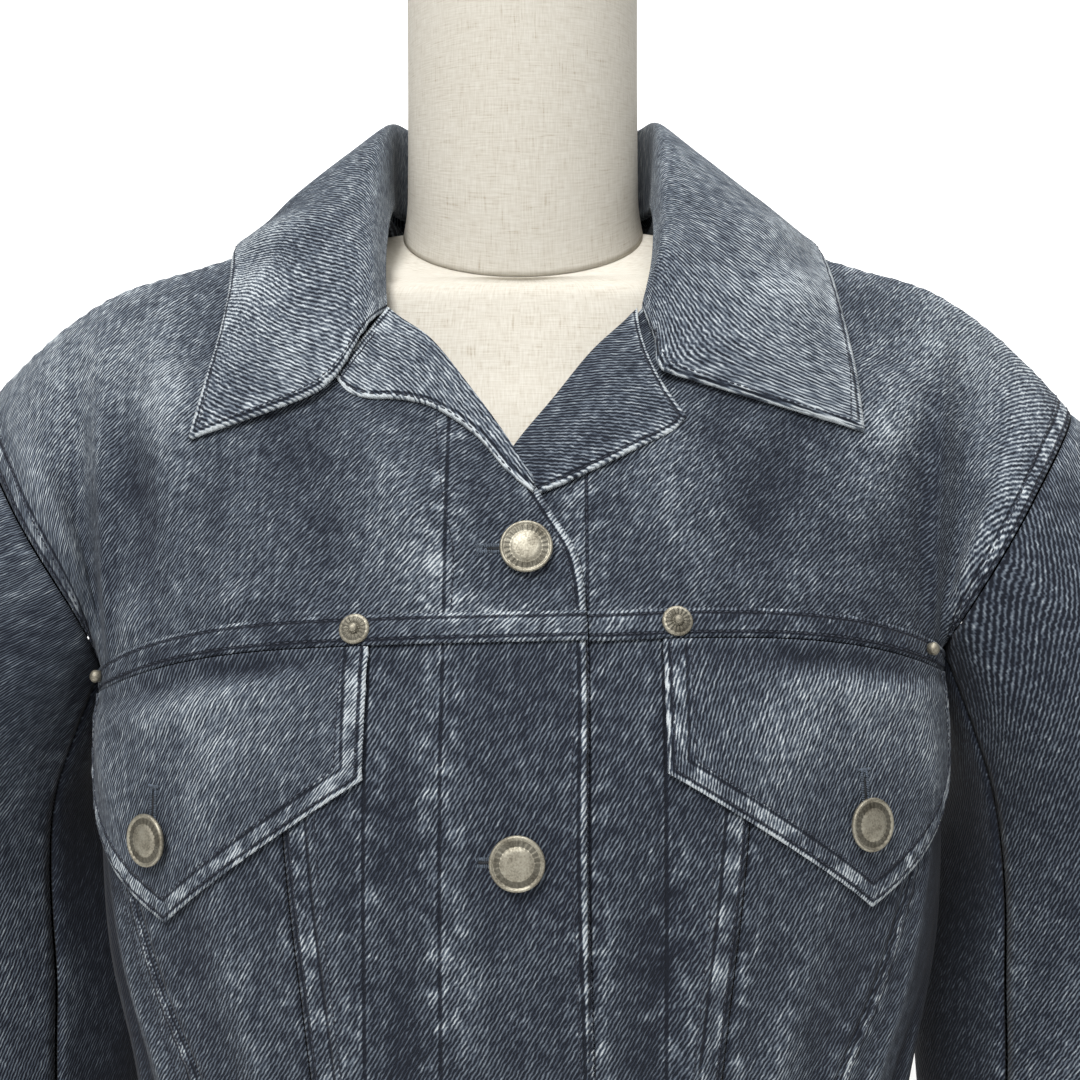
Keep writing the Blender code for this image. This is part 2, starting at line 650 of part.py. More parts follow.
def collar_point(station, fall):
    """A point of the collar's visible face: fall is 0 at the neckline and 1 at the edge."""
    base, roll = read_point(COLLAR, station, "base_"), read_point(COLLAR, station, "roll_")
    mid, edge = (
        over_shoulder(*(read(COLLAR, station, part + name) for name in ("share", "over", "lift")))
        for part in ("mid_", "edge_")
    )
    rising, falling = (roll - base) * ROLL_TURN, (mid - roll) * ROLL_TURN
    turn, along = (rising + falling) / 2, edge - roll
    shortest = np.minimum(length(mid - roll), length(edge - mid))
    along = along / length(along) * shortest
    at = fall[..., None]
    stand = hermite(base, roll, rising, turn, np.clip(at / ROLL_AT, 0, 1))
    leaf = hermite(roll, mid, turn, along, np.clip((at - ROLL_AT) / (MID_AT - ROLL_AT), 0, 1))
    tip = hermite(mid, edge, along, edge - mid, np.clip((at - MID_AT) / (1 - MID_AT), 0, 1))
    return np.where(at < ROLL_AT, stand, np.where(at < MID_AT, leaf, tip))


def collar():
    wall("collar", 32, 9, lambda across, up: collar_point(2 * across - 1, up), denim("collar", 1.2), DOUBLED)


# Sleeves: one row for each ring, from the armhole to the cuff. lean is how far its outer side stands higher
# than its middle, and skew how far its back lies nearer to the body than its middle. A place round a sleeve
# runs from 0 on its outer side, down its front, to 0.5 on its inner side.
SleeveRing = namedtuple("SleeveRing", "down centre_x centre_y centre_z half_width half_depth lean skew")
SLEEVE = (
    SleeveRing(0.00, 0.2130, -0.004, 0.7180, 0.0330, 0.0520, 0.0550, 0.000),
    SleeveRing(0.07, 0.2330, -0.004, 0.6840, 0.0420, 0.0600, 0.0540, 0.006),
    SleeveRing(0.16, 0.2480, -0.004, 0.6400, 0.0490, 0.0620, 0.0400, 0.016),
    SleeveRing(0.27, 0.2560, -0.004, 0.5850, 0.0530, 0.0600, 0.0240, 0.028),
    SleeveRing(0.40, 0.2575, -0.005, 0.5200, 0.0535, 0.0580, 0.0090, 0.034),
    SleeveRing(0.55, 0.2570, -0.009, 0.4450, 0.0520, 0.0555, 0.0020, 0.031),
    SleeveRing(0.70, 0.2570, -0.016, 0.3750, 0.0500, 0.0530, 0.0000, 0.022),
    SleeveRing(0.85, 0.2555, -0.026, 0.3100, 0.0445, 0.0490, 0.0000, 0.010),
    SleeveRing(1.00, 0.2550, -0.036, 0.2550, 0.0400, 0.0450, 0.0000, 0.000),
)
SLEEVE_ROUNDNESS = 0.80  # 1 for an ellipse, less for squarer rings
SLEEVE_NEARER = {RIGHT: 0.012, LEFT: 0.006}  # how much nearer to the body each sleeve hangs
NEARER_FROM = (0.10, 0.40)
ARMHOLE_REACH = 0.22  # how far down the sleeve the armhole's own shape fades
SLEEVE_LENGTH, SLEEVE_GIRTH = 0.50, 0.30
SLEEVE_FRONT_SEAM, SLEEVE_BACK_SEAM = 0.46, 0.74
CUFF_HEIGHT = 0.040
SleeveFold = namedtuple("SleeveFold", "round_at down_at half_round half_down lean depth")
SLEEVE_FOLDS = (
    SleeveFold(0.20, 0.30, 0.035, 0.26, 0.06, 0.004),
    SleeveFold(0.33, 0.42, 0.030, 0.22, -0.04, 0.003),
    SleeveFold(0.42, 0.52, 0.060, 0.05, 0.60, -0.005),
    SleeveFold(0.40, 0.61, 0.060, 0.05, 0.60, -0.005),
    SleeveFold(0.78, 0.50, 0.040, 0.20, 0.05, 0.004),
    SleeveFold(0.30, 0.90, 0.080, 0.04, 0.40, -0.003),
)


def squared(value):
    return np.sign(value) * np.abs(value) ** SLEEVE_ROUNDNESS


def sleeve_ring(side, about, down):
    angle = 2 * math.pi * about
    out, ahead = squared(np.cos(angle)), squared(np.sin(angle))
    value = {name: read(SLEEVE, down, name) for name in SleeveRing._fields[1:]}
    x = value["centre_x"] + value["half_width"] * out + value["skew"] * ahead
    x = x - SLEEVE_NEARER[side] * smooth(*NEARER_FROM, down)
    y = value["centre_y"] - value["half_depth"] * ahead
    return np.stack([side * x, y, value["centre_z"] + value["lean"] * np.cos(angle)], axis=-1)


def armhole_point(side, about):
    """A point of the armhole's edge, from the shoulder down the front to the underarm and up the back."""
    front = about < 0.5
    climb = np.where(front, 2 - 2 * about, 2 * about)
    return base_point(side * np.where(front, 1.0, 1.0 + 1e-9), np.clip(climb, 1.0, 2.0))


def sleeve_base(side, about, down):
    about = np.mod(about, 1.0)
    stretch = armhole_point(side, about) - sleeve_ring(side, about, 0 * down)
    return sleeve_ring(side, about, down) + (1 - smooth(0, ARMHOLE_REACH, down))[..., None] * stretch


def sleeve_point(side, about, down):
    """A point of a sleeve's outer face, with its folds."""
    about, down = np.broadcast_arrays(np.asarray(about, float), np.asarray(down, float))
    depth = np.zeros_like(about)
    for fold in SLEEVE_FOLDS:
        middle = fold.down_at + fold.lean * (about - fold.round_at)
        near = ((about - fold.round_at) / fold.half_round) ** 2 + ((down - middle) / fold.half_down) ** 2
        depth = depth + fold.depth * np.exp(-near)
    step = 0.004
    across = sleeve_base(side, about + step, down) - sleeve_base(side, about - step, down)
    lower, upper = np.minimum(down + step, 1), np.maximum(down - step, 0)
    along = sleeve_base(side, about, lower) - sleeve_base(side, about, upper)
    out = np.cross(across, along) * -side
    out = out / np.maximum(np.linalg.norm(out, axis=-1, keepdims=True), 1e-9)
    return sleeve_base(side, about, down) + depth[..., None] * out


def sleeves():
    start = SEAM_GAP / SLEEVE_LENGTH
    panels = (
        ("upper_sleeve", SLEEVE_BACK_SEAM - 1, SLEEVE_FRONT_SEAM, 12),
        ("under_sleeve", SLEEVE_FRONT_SEAM, SLEEVE_BACK_SEAM, 5),
    )
    for side_name, side in SIDES:
        for name, first, last, columns in panels:

            def point(across, up):
                margin = TURN_GAP / 2 / ((last - first) * SLEEVE_GIRTH)
                about = first + inset(across, margin) * (last - first)
                return sleeve_point(side, about, 1 - up * (1 - start))

            wall(f"{name}_{side_name}", columns, 15, point, denim(name), flip=side == LEFT)

        def cuff(across, up):
            placed = cuff_ring(side, across)
            placed[..., 2] = SLEEVE[-1].centre_z - SEAM_GAP - (1 - up) * CUFF_HEIGHT
            return placed

        wall(f"cuff_{side_name}", 20, 1, cuff, denim("cuff", 1.1), DOUBLED, flip=side == LEFT, wrap=True)


def cuff_ring(side, about):
    """The cuff's outline, which stands out from the sleeve's end by its extra thickness."""
    outline = sleeve_ring(side, about, 1 + 0 * about)
    middle = np.array([side * (SLEEVE[-1].centre_x - SLEEVE_NEARER[side]), SLEEVE[-1].centre_y, 0])
    return middle + (outline - middle) * (1 + (DOUBLED - WALL) / SLEEVE[-1].half_width) * [1, 1, 0]


def hem_band():
    """The band runs from the right front's edge round the back to the left front's, which lies under it."""

    def point(across, up):
        height = HEM + up * (BAND - SEAM_GAP / 2)
        edge, under_edge = (around_of(front_edge(side, height), height) for side in (RIGHT, LEFT))
        place = edge - across * (4 + edge - under_edge)
        around = np.where(place < -2, place + 4, place)
        x = base_point(around, climb_of(around, height))[..., 0]
        step = np.where(across < 0.5, closure_lift(RIGHT, x, height), closure_lift(LEFT, x, height))
        return on_cloth(around, climb_of(around, height), np.where(np.abs(around) < 1, step, 0) * BAND_STEP)

    wall("hem_band", 48, 1, point, denim("band", 1.1), DOUBLED, flip=True)


# Metal: (radius, height) from the top of the axis out, down and back to the axis
BUTTON = (
    (0.0, 0.0045), (0.0070, 0.0038), (0.0090, 0.0040), (0.0103, 0.0030),
    (0.0097, 0.0019), (0.0045, 0.0016), (0.0045, 0.0), (0.0, 0.0),
)  # fmt: skip
RIVET = ((0.0, 0.0040), (0.0018, 0.0032), (0.0019, 0.0011), (0.0048, 0.0010), (0.0060, 0.0), (0.0, 0.0))
STUD = ((0.0, 0.0042), (0.0020, 0.0036), (0.0028, 0.0022), (0.0022, 0.0), (0.0, 0.0))
BUTTON_STEPS, RIVET_STEPS, STUD_STEPS = 14, 12, 10
# x and height of each button, x on its own side for the flaps
FRONT_BUTTONS = ((0.0040, 0.7155), (0.0010, 0.6030), (0.0010, 0.5000), (0.0010, 0.3966), (0.0010, 0.2930))
FLAP_BUTTON = {RIGHT: (0.1395, 0.6040), LEFT: (0.1320, 0.6110)}
RIVET_AROUND = 0.198
STUD_AROUND = {RIGHT: 0.800, LEFT: 0.730}
CUFF_BUTTON_ABOUT = 0.62
SEAT = 0.0004


def seated(surface, around, climb, seat=SEAT):
    """The matrix of a piece that sits on a surface function with its axis along the normal."""
    around, climb = np.array([float(around)]), np.array([float(climb)])
    normal = normals(surface, around, climb)[0]
    return facing(surface(around, climb)[0] + seat * normal, normal)


def front_buttons(nickel):
    for number, (x, height) in enumerate(FRONT_BUTTONS, start=1):
        if height > YOKE_FRONT:
            place = place_of(x, height)
        else:
            around = around_of(x, height)
            place = around, climb_of(around, height)
        lift = CLOSURE_LIFT * (BAND_STEP - 1) if height < BAND_TOP else 0.0
        matrix = seated(lambda around, climb: on_front(RIGHT, around, climb, lift), *place)
        turned(f"front_button_{number}", BUTTON, BUTTON_STEPS, matrix, nickel)


def side_metal(side_name, side, nickel):
    x, height = FLAP_BUTTON[side]
    around = around_of(side * x, height)
    lift = LAY_GAP + DOUBLED + FLAP_PUFF
    on_flap = seated(lambda a, c: on_cloth(a, c, lift), around, climb_of(around, height), 2 * SEAT)
    turned(f"flap_button_{side_name}", BUTTON, BUTTON_STEPS, on_flap, nickel)
    for name, profile, steps, at, seat in (
        ("rivet", RIVET, RIVET_STEPS, RIVET_AROUND, SEAT),
        ("stud", STUD, STUD_STEPS, STUD_AROUND[side], 3 * SEAT),
    ):
        matrix = seated(lambda a, c: on_front(side, a, c, LAY_GAP + WALL), side * at, 1.0, seat)
        turned(f"{name}_{side_name}", profile, steps, matrix, nickel)

    middle = cuff_ring(side, np.array([CUFF_BUTTON_ABOUT]))[0]
    middle[2] = SLEEVE[-1].centre_z - CUFF_HEIGHT / 2
    ahead, behind = (cuff_ring(side, np.array([CUFF_BUTTON_ABOUT + step]))[0] for step in (0.01, -0.01))
    along = ahead - behind
    normal = np.array([along[1], -along[0], 0]) * -side
    normal = normal / np.linalg.norm(normal)
    turned(f"cuff_button_{side_name}", BUTTON, BUTTON_STEPS, facing(middle + SEAT * normal, normal), nickel)


# Dress form: one row for each ring. dip is how far its front hangs lower than its sides, rise how far its
# back stands higher.
FormRing = namedtuple("FormRing", "height half_width front back middle_y dip rise")
TORSO = (
    FormRing(0.190, 0.146, 0.088, 0.098, 0.000, 0.000, 0.000),
    FormRing(0.250, 0.151, 0.092, 0.102, 0.000, 0.000, 0.000),
    FormRing(0.330, 0.142, 0.084, 0.080, 0.000, 0.000, 0.000),
    FormRing(0.430, 0.118, 0.074, 0.064, 0.000, 0.000, 0.000),
    FormRing(0.520, 0.136, 0.088, 0.074, 0.000, 0.000, 0.000),
    FormRing(0.600, 0.152, 0.103, 0.086, 0.000, 0.000, 0.000),
    FormRing(0.660, 0.155, 0.090, 0.094, 0.000, 0.000, 0.000),
    FormRing(0.720, 0.160, 0.068, 0.096, 0.002, 0.000, 0.000),
    FormRing(0.765, 0.167, 0.052, 0.090, 0.006, 0.000, 0.000),
    FormRing(0.790, 0.168, 0.043, 0.080, 0.009, 0.000, 0.000),
    FormRing(0.812, 0.166, 0.038, 0.070, 0.011, 0.000, 0.000),
    FormRing(0.8300, 0.155, 0.034, 0.056, 0.012, 0.002, 0.000),
    FormRing(0.8415, 0.134, 0.030, 0.050, 0.014, 0.011, 0.000),
    FormRing(0.8505, 0.104, 0.036, 0.046, 0.020, 0.018, 0.000),
    FormRing(0.8565, 0.077, 0.045, 0.045, 0.028, 0.024, 0.000),
    FormRing(0.8610, 0.0570, 0.0500, 0.0480, 0.036, 0.028, 0.001),
)
NECK = (
    FormRing(0.8615, 0.0565, 0.0495, 0.0475, 0.036, 0.028, 0.001),
    FormRing(0.8720, 0.0548, 0.0495, 0.0480, 0.036, 0.025, 0.001),
    FormRing(0.8900, 0.0542, 0.0500, 0.0490, 0.036, 0.016, 0.001),
    FormRing(0.9150, 0.0540, 0.0510, 0.0500, 0.036, 0.007, 0.000),
    FormRing(0.9880, 0.0540, 0.0520, 0.0520, 0.036, 0.000, 0.000),
)
FORM_COLUMNS = 32  # the same on both, so that their facing ends are parallel
CAP_HEIGHT = 0.010
POLE_RADIUS = 0.016
BASE_RADIUS = 0.170
BASE_HEIGHT = 0.012
BASE_EDGE = 0.003


def form_shell(name, rings, columns, rows, finish):
    """A closed form from a table of rings."""
    low, high = rings[0].height, rings[-1].height

    def point(across, up):
        height = low + up * (high - low)
        angle = 2 * math.pi * across
        front = np.cos(angle) > 0
        depth = np.where(front, read(rings, height, "front"), read(rings, height, "back"))
        tilt = np.where(front, read(rings, height, "dip"), read(rings, height, "rise"))
        x = read(rings, height, "half_width") * np.sin(angle)
        y = read(rings, height, "middle_y") - depth * np.cos(angle)
        return np.stack([x, y, height - tilt * np.cos(angle)], axis=-1)

    bm = grid(columns, rows, point, wrap=True)
    ends = bmesh.ops.holes_fill(bm, edges=[edge for edge in bm.edges if edge.is_boundary], sides=0)
    bmesh.ops.poke(bm, faces=ends["faces"])
    bmesh.ops.recalc_face_normals(bm, faces=bm.faces)
    mesh = bpy.data.meshes.new(name)
    bm.to_mesh(mesh)
    bm.free()
    mesh.shade_smooth()
    return add_object(name, mesh, finish)


def dress_form():
    linen = material("linen", (0.78, 0.75, 0.67), 0.95)
    wood = material("cap_wood", (0.50, 0.36, 0.22), 0.5)
    steel = material("stand_steel", (0.45, 0.45, 0.46), 0.35, 1.0)
    form_shell("form_torso", TORSO, FORM_COLUMNS, 22, linen)
    form_shell("form_neck", NECK, FORM_COLUMNS, 7, linen)

    top = NECK[-1]
    rim = top.front - 0.001
    cap = ((0, CAP_HEIGHT), (rim * 0.8, CAP_HEIGHT * 0.85), (rim, CAP_HEIGHT * 0.3), (rim, 0), (0, 0))
    turned("neck_cap", cap, 28, Matrix.Translation((0, top.middle_y, top.height + SEAT)), wood)

    pole_top, pole_foot = TORSO[0].height - SEAT, BASE_HEIGHT + SEAT
    pole = ((0, pole_top), (POLE_RADIUS, pole_top), (POLE_RADIUS, pole_foot), (0, pole_foot))
    turned("pole", pole, 20, Matrix.Identity(4), steel)

    inner = BASE_RADIUS - BASE_EDGE
    edge = BASE_HEIGHT - BASE_EDGE
    base = ((0, BASE_HEIGHT), (inner, BASE_HEIGHT), (BASE_RADIUS, edge), (BASE_RADIUS, 0), (0, 0))
    turned("base", base, 40, Matrix.Identity(4), steel)


def jacket():
    nickel = material("antique_nickel", (0.55, 0.50, 0.40), 0.35, 1.0)
    lower_panels()
    back_yoke()
    for side_name, side in SIDES:
        front_yoke(side_name, side)
        yoke_strip(side_name, side)
        pocket_flap(side_name, side)
        lapel(side_name, side)
        side_metal(side_name, side, nickel)
    collar()
    sleeves()
    hem_band()
    front_buttons(nickel)


clear_scene()
PARTS = bpy.data.collections.new("denim_jacket_on_form")
bpy.context.scene.collection.children.link(PARTS)
dress_form()
jacket()
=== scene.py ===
"""The looks of a denim jacket worn on a linen dress form.

The cloth pieces are made finer on the same garment surface as the solids that they stand for. A place on
that surface has two numbers: around is 0 at the front centre, 1 at the side and 2 at the back centre, and
negative on the wearer's right. climb is 0 at the hem, 1 at the yoke seams and 2 at the shoulder seam and the
neckline.
"""

import math
from collections import namedtuple

import bmesh
import bpy
import numpy as np
from mathutils import Matrix, Vector


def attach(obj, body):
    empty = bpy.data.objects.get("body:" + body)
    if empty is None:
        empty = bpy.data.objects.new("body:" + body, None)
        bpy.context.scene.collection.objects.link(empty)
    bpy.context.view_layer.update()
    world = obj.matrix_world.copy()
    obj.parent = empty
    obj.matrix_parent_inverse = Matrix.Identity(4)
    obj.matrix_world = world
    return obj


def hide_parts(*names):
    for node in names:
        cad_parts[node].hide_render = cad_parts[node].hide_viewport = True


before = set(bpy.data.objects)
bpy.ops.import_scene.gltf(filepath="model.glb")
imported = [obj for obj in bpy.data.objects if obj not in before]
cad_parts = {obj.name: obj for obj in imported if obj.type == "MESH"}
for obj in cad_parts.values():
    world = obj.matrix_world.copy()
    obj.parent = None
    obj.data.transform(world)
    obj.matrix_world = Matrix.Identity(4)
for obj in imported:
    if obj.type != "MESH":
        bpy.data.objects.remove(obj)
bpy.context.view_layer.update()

# The garment surface

RIGHT, LEFT = -1, 1  # the wearer's sides: RIGHT lies at -X
SIDES = (("right", RIGHT), ("left", LEFT))
TINY = 1e-9  # keeps a length off zero
WELD = 1e-5  # points nearer than this become one
PAST_SIDE = 1 + TINY  # the place around the body where the back begins
SLOPE_STEP = 0.004  # between the places that give a surface's slope
SHARE_STEP = 0.012  # the same on a finished piece, as a share of it

# Cloth
WALL = 0.0013  # one layer of denim with its seam allowance
DOUBLED = 0.0022  # collar, lapels, flaps, cuffs and hem band
SEAM_GAP = 0.0006  # between the outer faces of neighbouring pieces, whose inner edges stand closer
TURN_GAP = 0.0012  # the same where a seam runs along a turn of the cloth
RIDGE_GAP = 0.0024  # and along the sharp ridge of the shoulder
LAY_GAP = 0.0006  # under a piece that lies on another
GIRTH_SHARE = 0.25  # metres of girth for each unit of around
YOKE_LENGTH = 0.19  # metres of cloth for each unit of climb above the yoke seams
CLOSURE_LIFT = 0.0011  # the right front stands this far out, the left front this far in
CLOSURE_FADE = (0.034, 0.062)  # half-widths between which that step dies away
BAND_STEP = 1.5  # the hem band is thicker than the fronts, so its ends step further apart
BREAK_LIFT = 0.0042  # the right front stands out further where the lapels begin
BREAK_HEIGHTS = (0.700, 0.738)

# Heights of the body
HEM = 0.273
BAND = 0.040
BAND_TOP = HEM + BAND
YOKE_FRONT = 0.687
YOKE_BACK = 0.692
UNDERARM = 0.662
FRONT_DROP_POWER = 4.0
BACK_DROP_POWER = 3.0
SEAM_LEAN = 0.0045  # how much lower the yoke seams lie on the right side than on average
SIDE_Y = -0.018
ROUNDNESS = 2 / 2.2  # 2 over the exponent of the rings' superellipse

# One row for each ring of the lower body, from the hem up.
Ring = namedtuple("Ring", "height half_width front back")
BODY = (
    Ring(0.273, 0.168, 0.101, 0.124),
    Ring(0.350, 0.159, 0.096, 0.110),
    Ring(0.430, 0.156, 0.097, 0.104),
    Ring(0.490, 0.166, 0.102, 0.111),
    Ring(0.545, 0.178, 0.106, 0.120),
    Ring(0.600, 0.181, 0.107, 0.127),
    Ring(0.640, 0.181, 0.101, 0.131),
    Ring(0.665, 0.180, 0.092, 0.133),
    Ring(0.695, 0.180, 0.080, 0.134),
)

# One row for each rib of the upper body, from the centre to the armhole. A rib climbs from the yoke seam over
# the chest, or the shoulder blade, and the slope of the shoulder to the ridge, where front and back meet.
Rib = namedtuple("Rib", "share chest_x chest_y chest_z slope_x slope_y slope_z")
FRONT_RIBS = (
    Rib(0.00, 0.000, -0.078, 0.737, 0.000, -0.046, 0.787),
    Rib(0.20, 0.055, -0.078, 0.742, 0.056, -0.044, 0.804),
    Rib(0.36, 0.096, -0.072, 0.740, 0.099, -0.040, 0.800),
    Rib(0.55, 0.139, -0.061, 0.734, 0.143, -0.034, 0.791),
    Rib(0.75, 0.172, -0.050, 0.722, 0.181, -0.029, 0.777),
    Rib(0.88, 0.184, -0.052, 0.706, 0.200, -0.038, 0.754),
    Rib(1.00, 0.186, -0.052, 0.690, 0.212, -0.050, 0.733),
)
BACK_RIBS = (
    Rib(0.00, 0.000, 0.120, 0.757, 0.000, 0.108, 0.830),
    Rib(0.20, 0.054, 0.117, 0.755, 0.055, 0.096, 0.838),
    Rib(0.36, 0.096, 0.110, 0.750, 0.099, 0.086, 0.826),
    Rib(0.55, 0.139, 0.096, 0.742, 0.143, 0.074, 0.808),
    Rib(0.75, 0.170, 0.073, 0.728, 0.180, 0.060, 0.785),
    Rib(0.88, 0.183, 0.056, 0.708, 0.200, 0.052, 0.757),
    Rib(1.00, 0.187, 0.044, 0.694, 0.213, 0.052, 0.735),
)
RIDGE_ROUND = 0.9  # how level the ribs run into the ridge

# The ribs' upper ends: the shoulder seam from the side of the neck to the armhole, and the necklines.
Ridge = namedtuple("Ridge", "share x y z")
NECK_SHARE = 0.22
SHOULDER = (
    Ridge(0.22, 0.0615, 0.014, 0.8655),
    Ridge(0.36, 0.1020, 0.012, 0.8545),
    Ridge(0.55, 0.1490, 0.011, 0.8405),
    Ridge(0.75, 0.1900, 0.010, 0.8265),
    Ridge(0.88, 0.2170, 0.008, 0.8060),
    Ridge(1.00, 0.2460, 0.004, 0.7740),
)
FRONT_NECK = (
    Ridge(0.00, 0.0000, -0.016, 0.8340),
    Ridge(0.10, 0.0290, -0.012, 0.8420),
    Ridge(0.22, 0.0615, 0.014, 0.8655),
)
BACK_NECK = (
    Ridge(0.00, 0.0000, 0.098, 0.8700),
    Ridge(0.08, 0.0330, 0.091, 0.8700),
    Ridge(0.14, 0.0545, 0.073, 0.8700),
    Ridge(0.18, 0.0628, 0.045, 0.8680),
    Ridge(0.22, 0.0615, 0.014, 0.8655),
)

# The largest folds. middle is the place around the body at mid_climb, and lean how far it moves for each unit
# of climb.
Fold = namedtuple("Fold", "middle mid_climb half_climb lean half_around depth")
FOLDS = (
    Fold(-0.84, 1.45, 0.42, 0.05, 0.050, -0.010),
    Fold(-0.76, 1.42, 0.50, 0.03, 0.030, 0.003),
    Fold(0.84, 1.45, 0.42, -0.05, 0.050, -0.010),
    Fold(0.76, 1.42, 0.50, -0.03, 0.030, 0.003),
    Fold(-0.80, 0.35, 0.30, 0.05, 0.035, 0.003),
    Fold(0.82, 0.40, 0.32, -0.04, 0.035, 0.003),
    Fold(-1.14, 0.40, 0.34, 0.03, 0.040, 0.004),
    Fold(1.15, 0.36, 0.30, -0.03, 0.040, 0.004),
    Fold(-1.62, 1.40, 0.40, 0.05, 0.050, -0.003),
    Fold(1.62, 1.40, 0.40, -0.05, 0.050, -0.003),
)


def smooth(low, high, value):
    """0 below low, 1 above high and an even S between them."""
    share = np.clip((value - low) / (high - low), 0, 1)
    return share * share * (3 - 2 * share)


def hermite(start, end, start_slope, end_slope, t):
    """A cubic from start to end with a slope at each end."""
    return (
        start * (1 + 2 * t) * (1 - t) ** 2
        + start_slope * t * (1 - t) ** 2
        + end * t * t * (3 - 2 * t)
        + end_slope * t * t * (t - 1)
    )


def length(vectors):
    """The lengths of vectors."""
    return np.linalg.norm(vectors, axis=-1, keepdims=True)


def unit(vectors):
    """The vectors brought to a length of 1."""
    return vectors / np.maximum(length(vectors), TINY)


def floats(first, second):
    """Two arrays of floats of the same shape."""
    return np.broadcast_arrays(np.asarray(first, float), np.asarray(second, float))


def read(rows, at, column):
    """One column of a table, along a smooth curve through its rows, sorted by their first column."""
    keys = np.array([row[0] for row in rows])
    values = np.array([getattr(row, column) for row in rows])
    slopes = np.gradient(values, keys)
    at = np.clip(at, keys[0], keys[-1])
    k = np.clip(np.searchsorted(keys, at) - 1, 0, len(keys) - 2)
    step = keys[k + 1] - keys[k]
    return hermite(values[k], values[k + 1], slopes[k] * step, slopes[k + 1] * step, (at - keys[k]) / step)


def read_point(rows, at, prefix=""):
    """The x, y and z columns that share a prefix."""
    return np.stack([read(rows, at, prefix + axis) for axis in "xyz"], axis=-1)


def with_mirror(rows):
    """The rows of both halves, from the wearer's right armhole to the left one."""
    flipped = [name for name in rows[0]._fields if name in ("share", "x") or name.endswith("_x")]
    right = [row._replace(**{name: -getattr(row, name) for name in flipped}) for row in rows[:0:-1]]
    return (*right, *rows)


FRONT_RIBS, BACK_RIBS = with_mirror(FRONT_RIBS), with_mirror(BACK_RIBS)
FRONT_NECK, BACK_NECK = with_mirror(FRONT_NECK), with_mirror(BACK_NECK)


def ring_point(around, height):
    """A point of the lower body at a height."""
    angle = np.abs(around) * math.pi / 2
    depth = np.where(angle < math.pi / 2, read(BODY, height, "front"), read(BODY, height, "back"))
    cosine = np.sign(np.cos(angle)) * np.abs(np.cos(angle)) ** ROUNDNESS
    x = np.sign(around) * read(BODY, height, "half_width") * np.abs(np.sin(angle)) ** ROUNDNESS
    return np.stack([x, SIDE_Y - depth * cosine, height + 0 * angle], axis=-1)


def yoke_seam(around):
    """The height of the yoke seams, which drop to the underarm."""
    sine = np.sin(around * math.pi / 2)
    front = YOKE_FRONT - (YOKE_FRONT - UNDERARM) * np.abs(sine) ** FRONT_DROP_POWER
    back = YOKE_BACK - (YOKE_BACK - UNDERARM) * np.abs(sine) ** BACK_DROP_POWER
    return np.where(np.abs(around) < 1, front, back) + SEAM_LEAN * sine


def climb_of(around, height):
    """The climb of a height on the lower body."""
    return (height - HEM) / (yoke_seam(around) - HEM)


def ridge_point(share, back):
    """The upper end of a rib."""
    neck = np.where(back[..., None], read_point(BACK_NECK, share), read_point(FRONT_NECK, share))
    shoulder = read_point(SHOULDER, np.abs(share))
    shoulder[..., 0] *= np.sign(share)
    return np.where((np.abs(share) < NECK_SHARE)[..., None], neck, shoulder)


def rib_point(around, climb):
    """A point of the upper body. climb here is 0 at the yoke seam and 1 at the ridge."""
    back = np.abs(around) > 1
    share = np.where(back, np.sign(around) * (2 - np.abs(around)), around)
    foot = ring_point(around, yoke_seam(around))
    chest, slope = (
        np.where(back[..., None], read_point(BACK_RIBS, share, name), read_point(FRONT_RIBS, share, name))
        for name in ("chest_", "slope_")
    )
    ridge = ridge_point(share, back)
    stations = [foot, chest, slope, ridge]
    level = (ridge - slope) * np.array([0.0, RIDGE_ROUND, 0.0])
    slopes = [chest - foot, (slope - foot) / 2, (ridge - chest) / 2, level]
    part = np.clip(climb * 3, 0, 3)
    k = np.clip(np.floor(part), 0, 2)
    t = (part - k)[..., None]
    result = np.zeros_like(foot)
    for i in range(3):
        here = hermite(stations[i], stations[i + 1], slopes[i], slopes[i + 1], t)
        result = np.where((k == i)[..., None], here, result)
    return result


def base_point(around, climb):
    """A point of the garment surface before its folds."""
    around, climb = floats(around, climb)
    around = np.where(np.abs(around) > 2, around - 4 * np.sign(around), around)
    placed = ring_point(around, HEM + np.clip(climb, 0, 1) * (yoke_seam(around) - HEM))
    upper = climb > 1
    if upper.any():
        placed[upper] = rib_point(around[upper], climb[upper] - 1)
    return placed


def normals(surface, around, climb):
    """Outward unit normals of a surface function. Above the underarm, front and back are separate."""
    left, right = around - SLOPE_STEP, around + SLOPE_STEP
    upper = climb > 1
    left = np.where(upper & (around > 1), np.maximum(left, PAST_SIDE), left)
    right = np.where(upper & (around < -1), np.minimum(right, -PAST_SIDE), right)
    front = upper & (np.abs(around) <= 1)
    left, right = np.where(front, np.maximum(left, -1), left), np.where(front, np.minimum(right, 1), right)
    across = surface(right, climb) - surface(left, climb)
    above, below = np.minimum(climb + SLOPE_STEP, 2), np.maximum(climb - SLOPE_STEP, 0)
    return unit(np.cross(across, surface(around, above) - surface(around, below)))


def fold_depth(around, climb):
    """How far the folds push the cloth out, or in below zero."""
    total = np.zeros_like(around)
    for fold in FOLDS:
        middle = fold.middle + fold.lean * (climb - fold.mid_climb)
        along = np.clip(1 - ((climb - fold.mid_climb) / fold.half_climb) ** 2, 0, 1)
        total = total + fold.depth * along**1.5 * np.exp(-(((around - middle) / fold.half_around) ** 2))
    return total


def on_cloth(around, climb, lift=0.0):
    """A point that stands lift off the garment's outer face, folds and all."""
    around, climb = floats(around, climb)
    depth = fold_depth(around, climb) + lift
    return base_point(around, climb) + depth[..., None] * normals(base_point, around, climb)


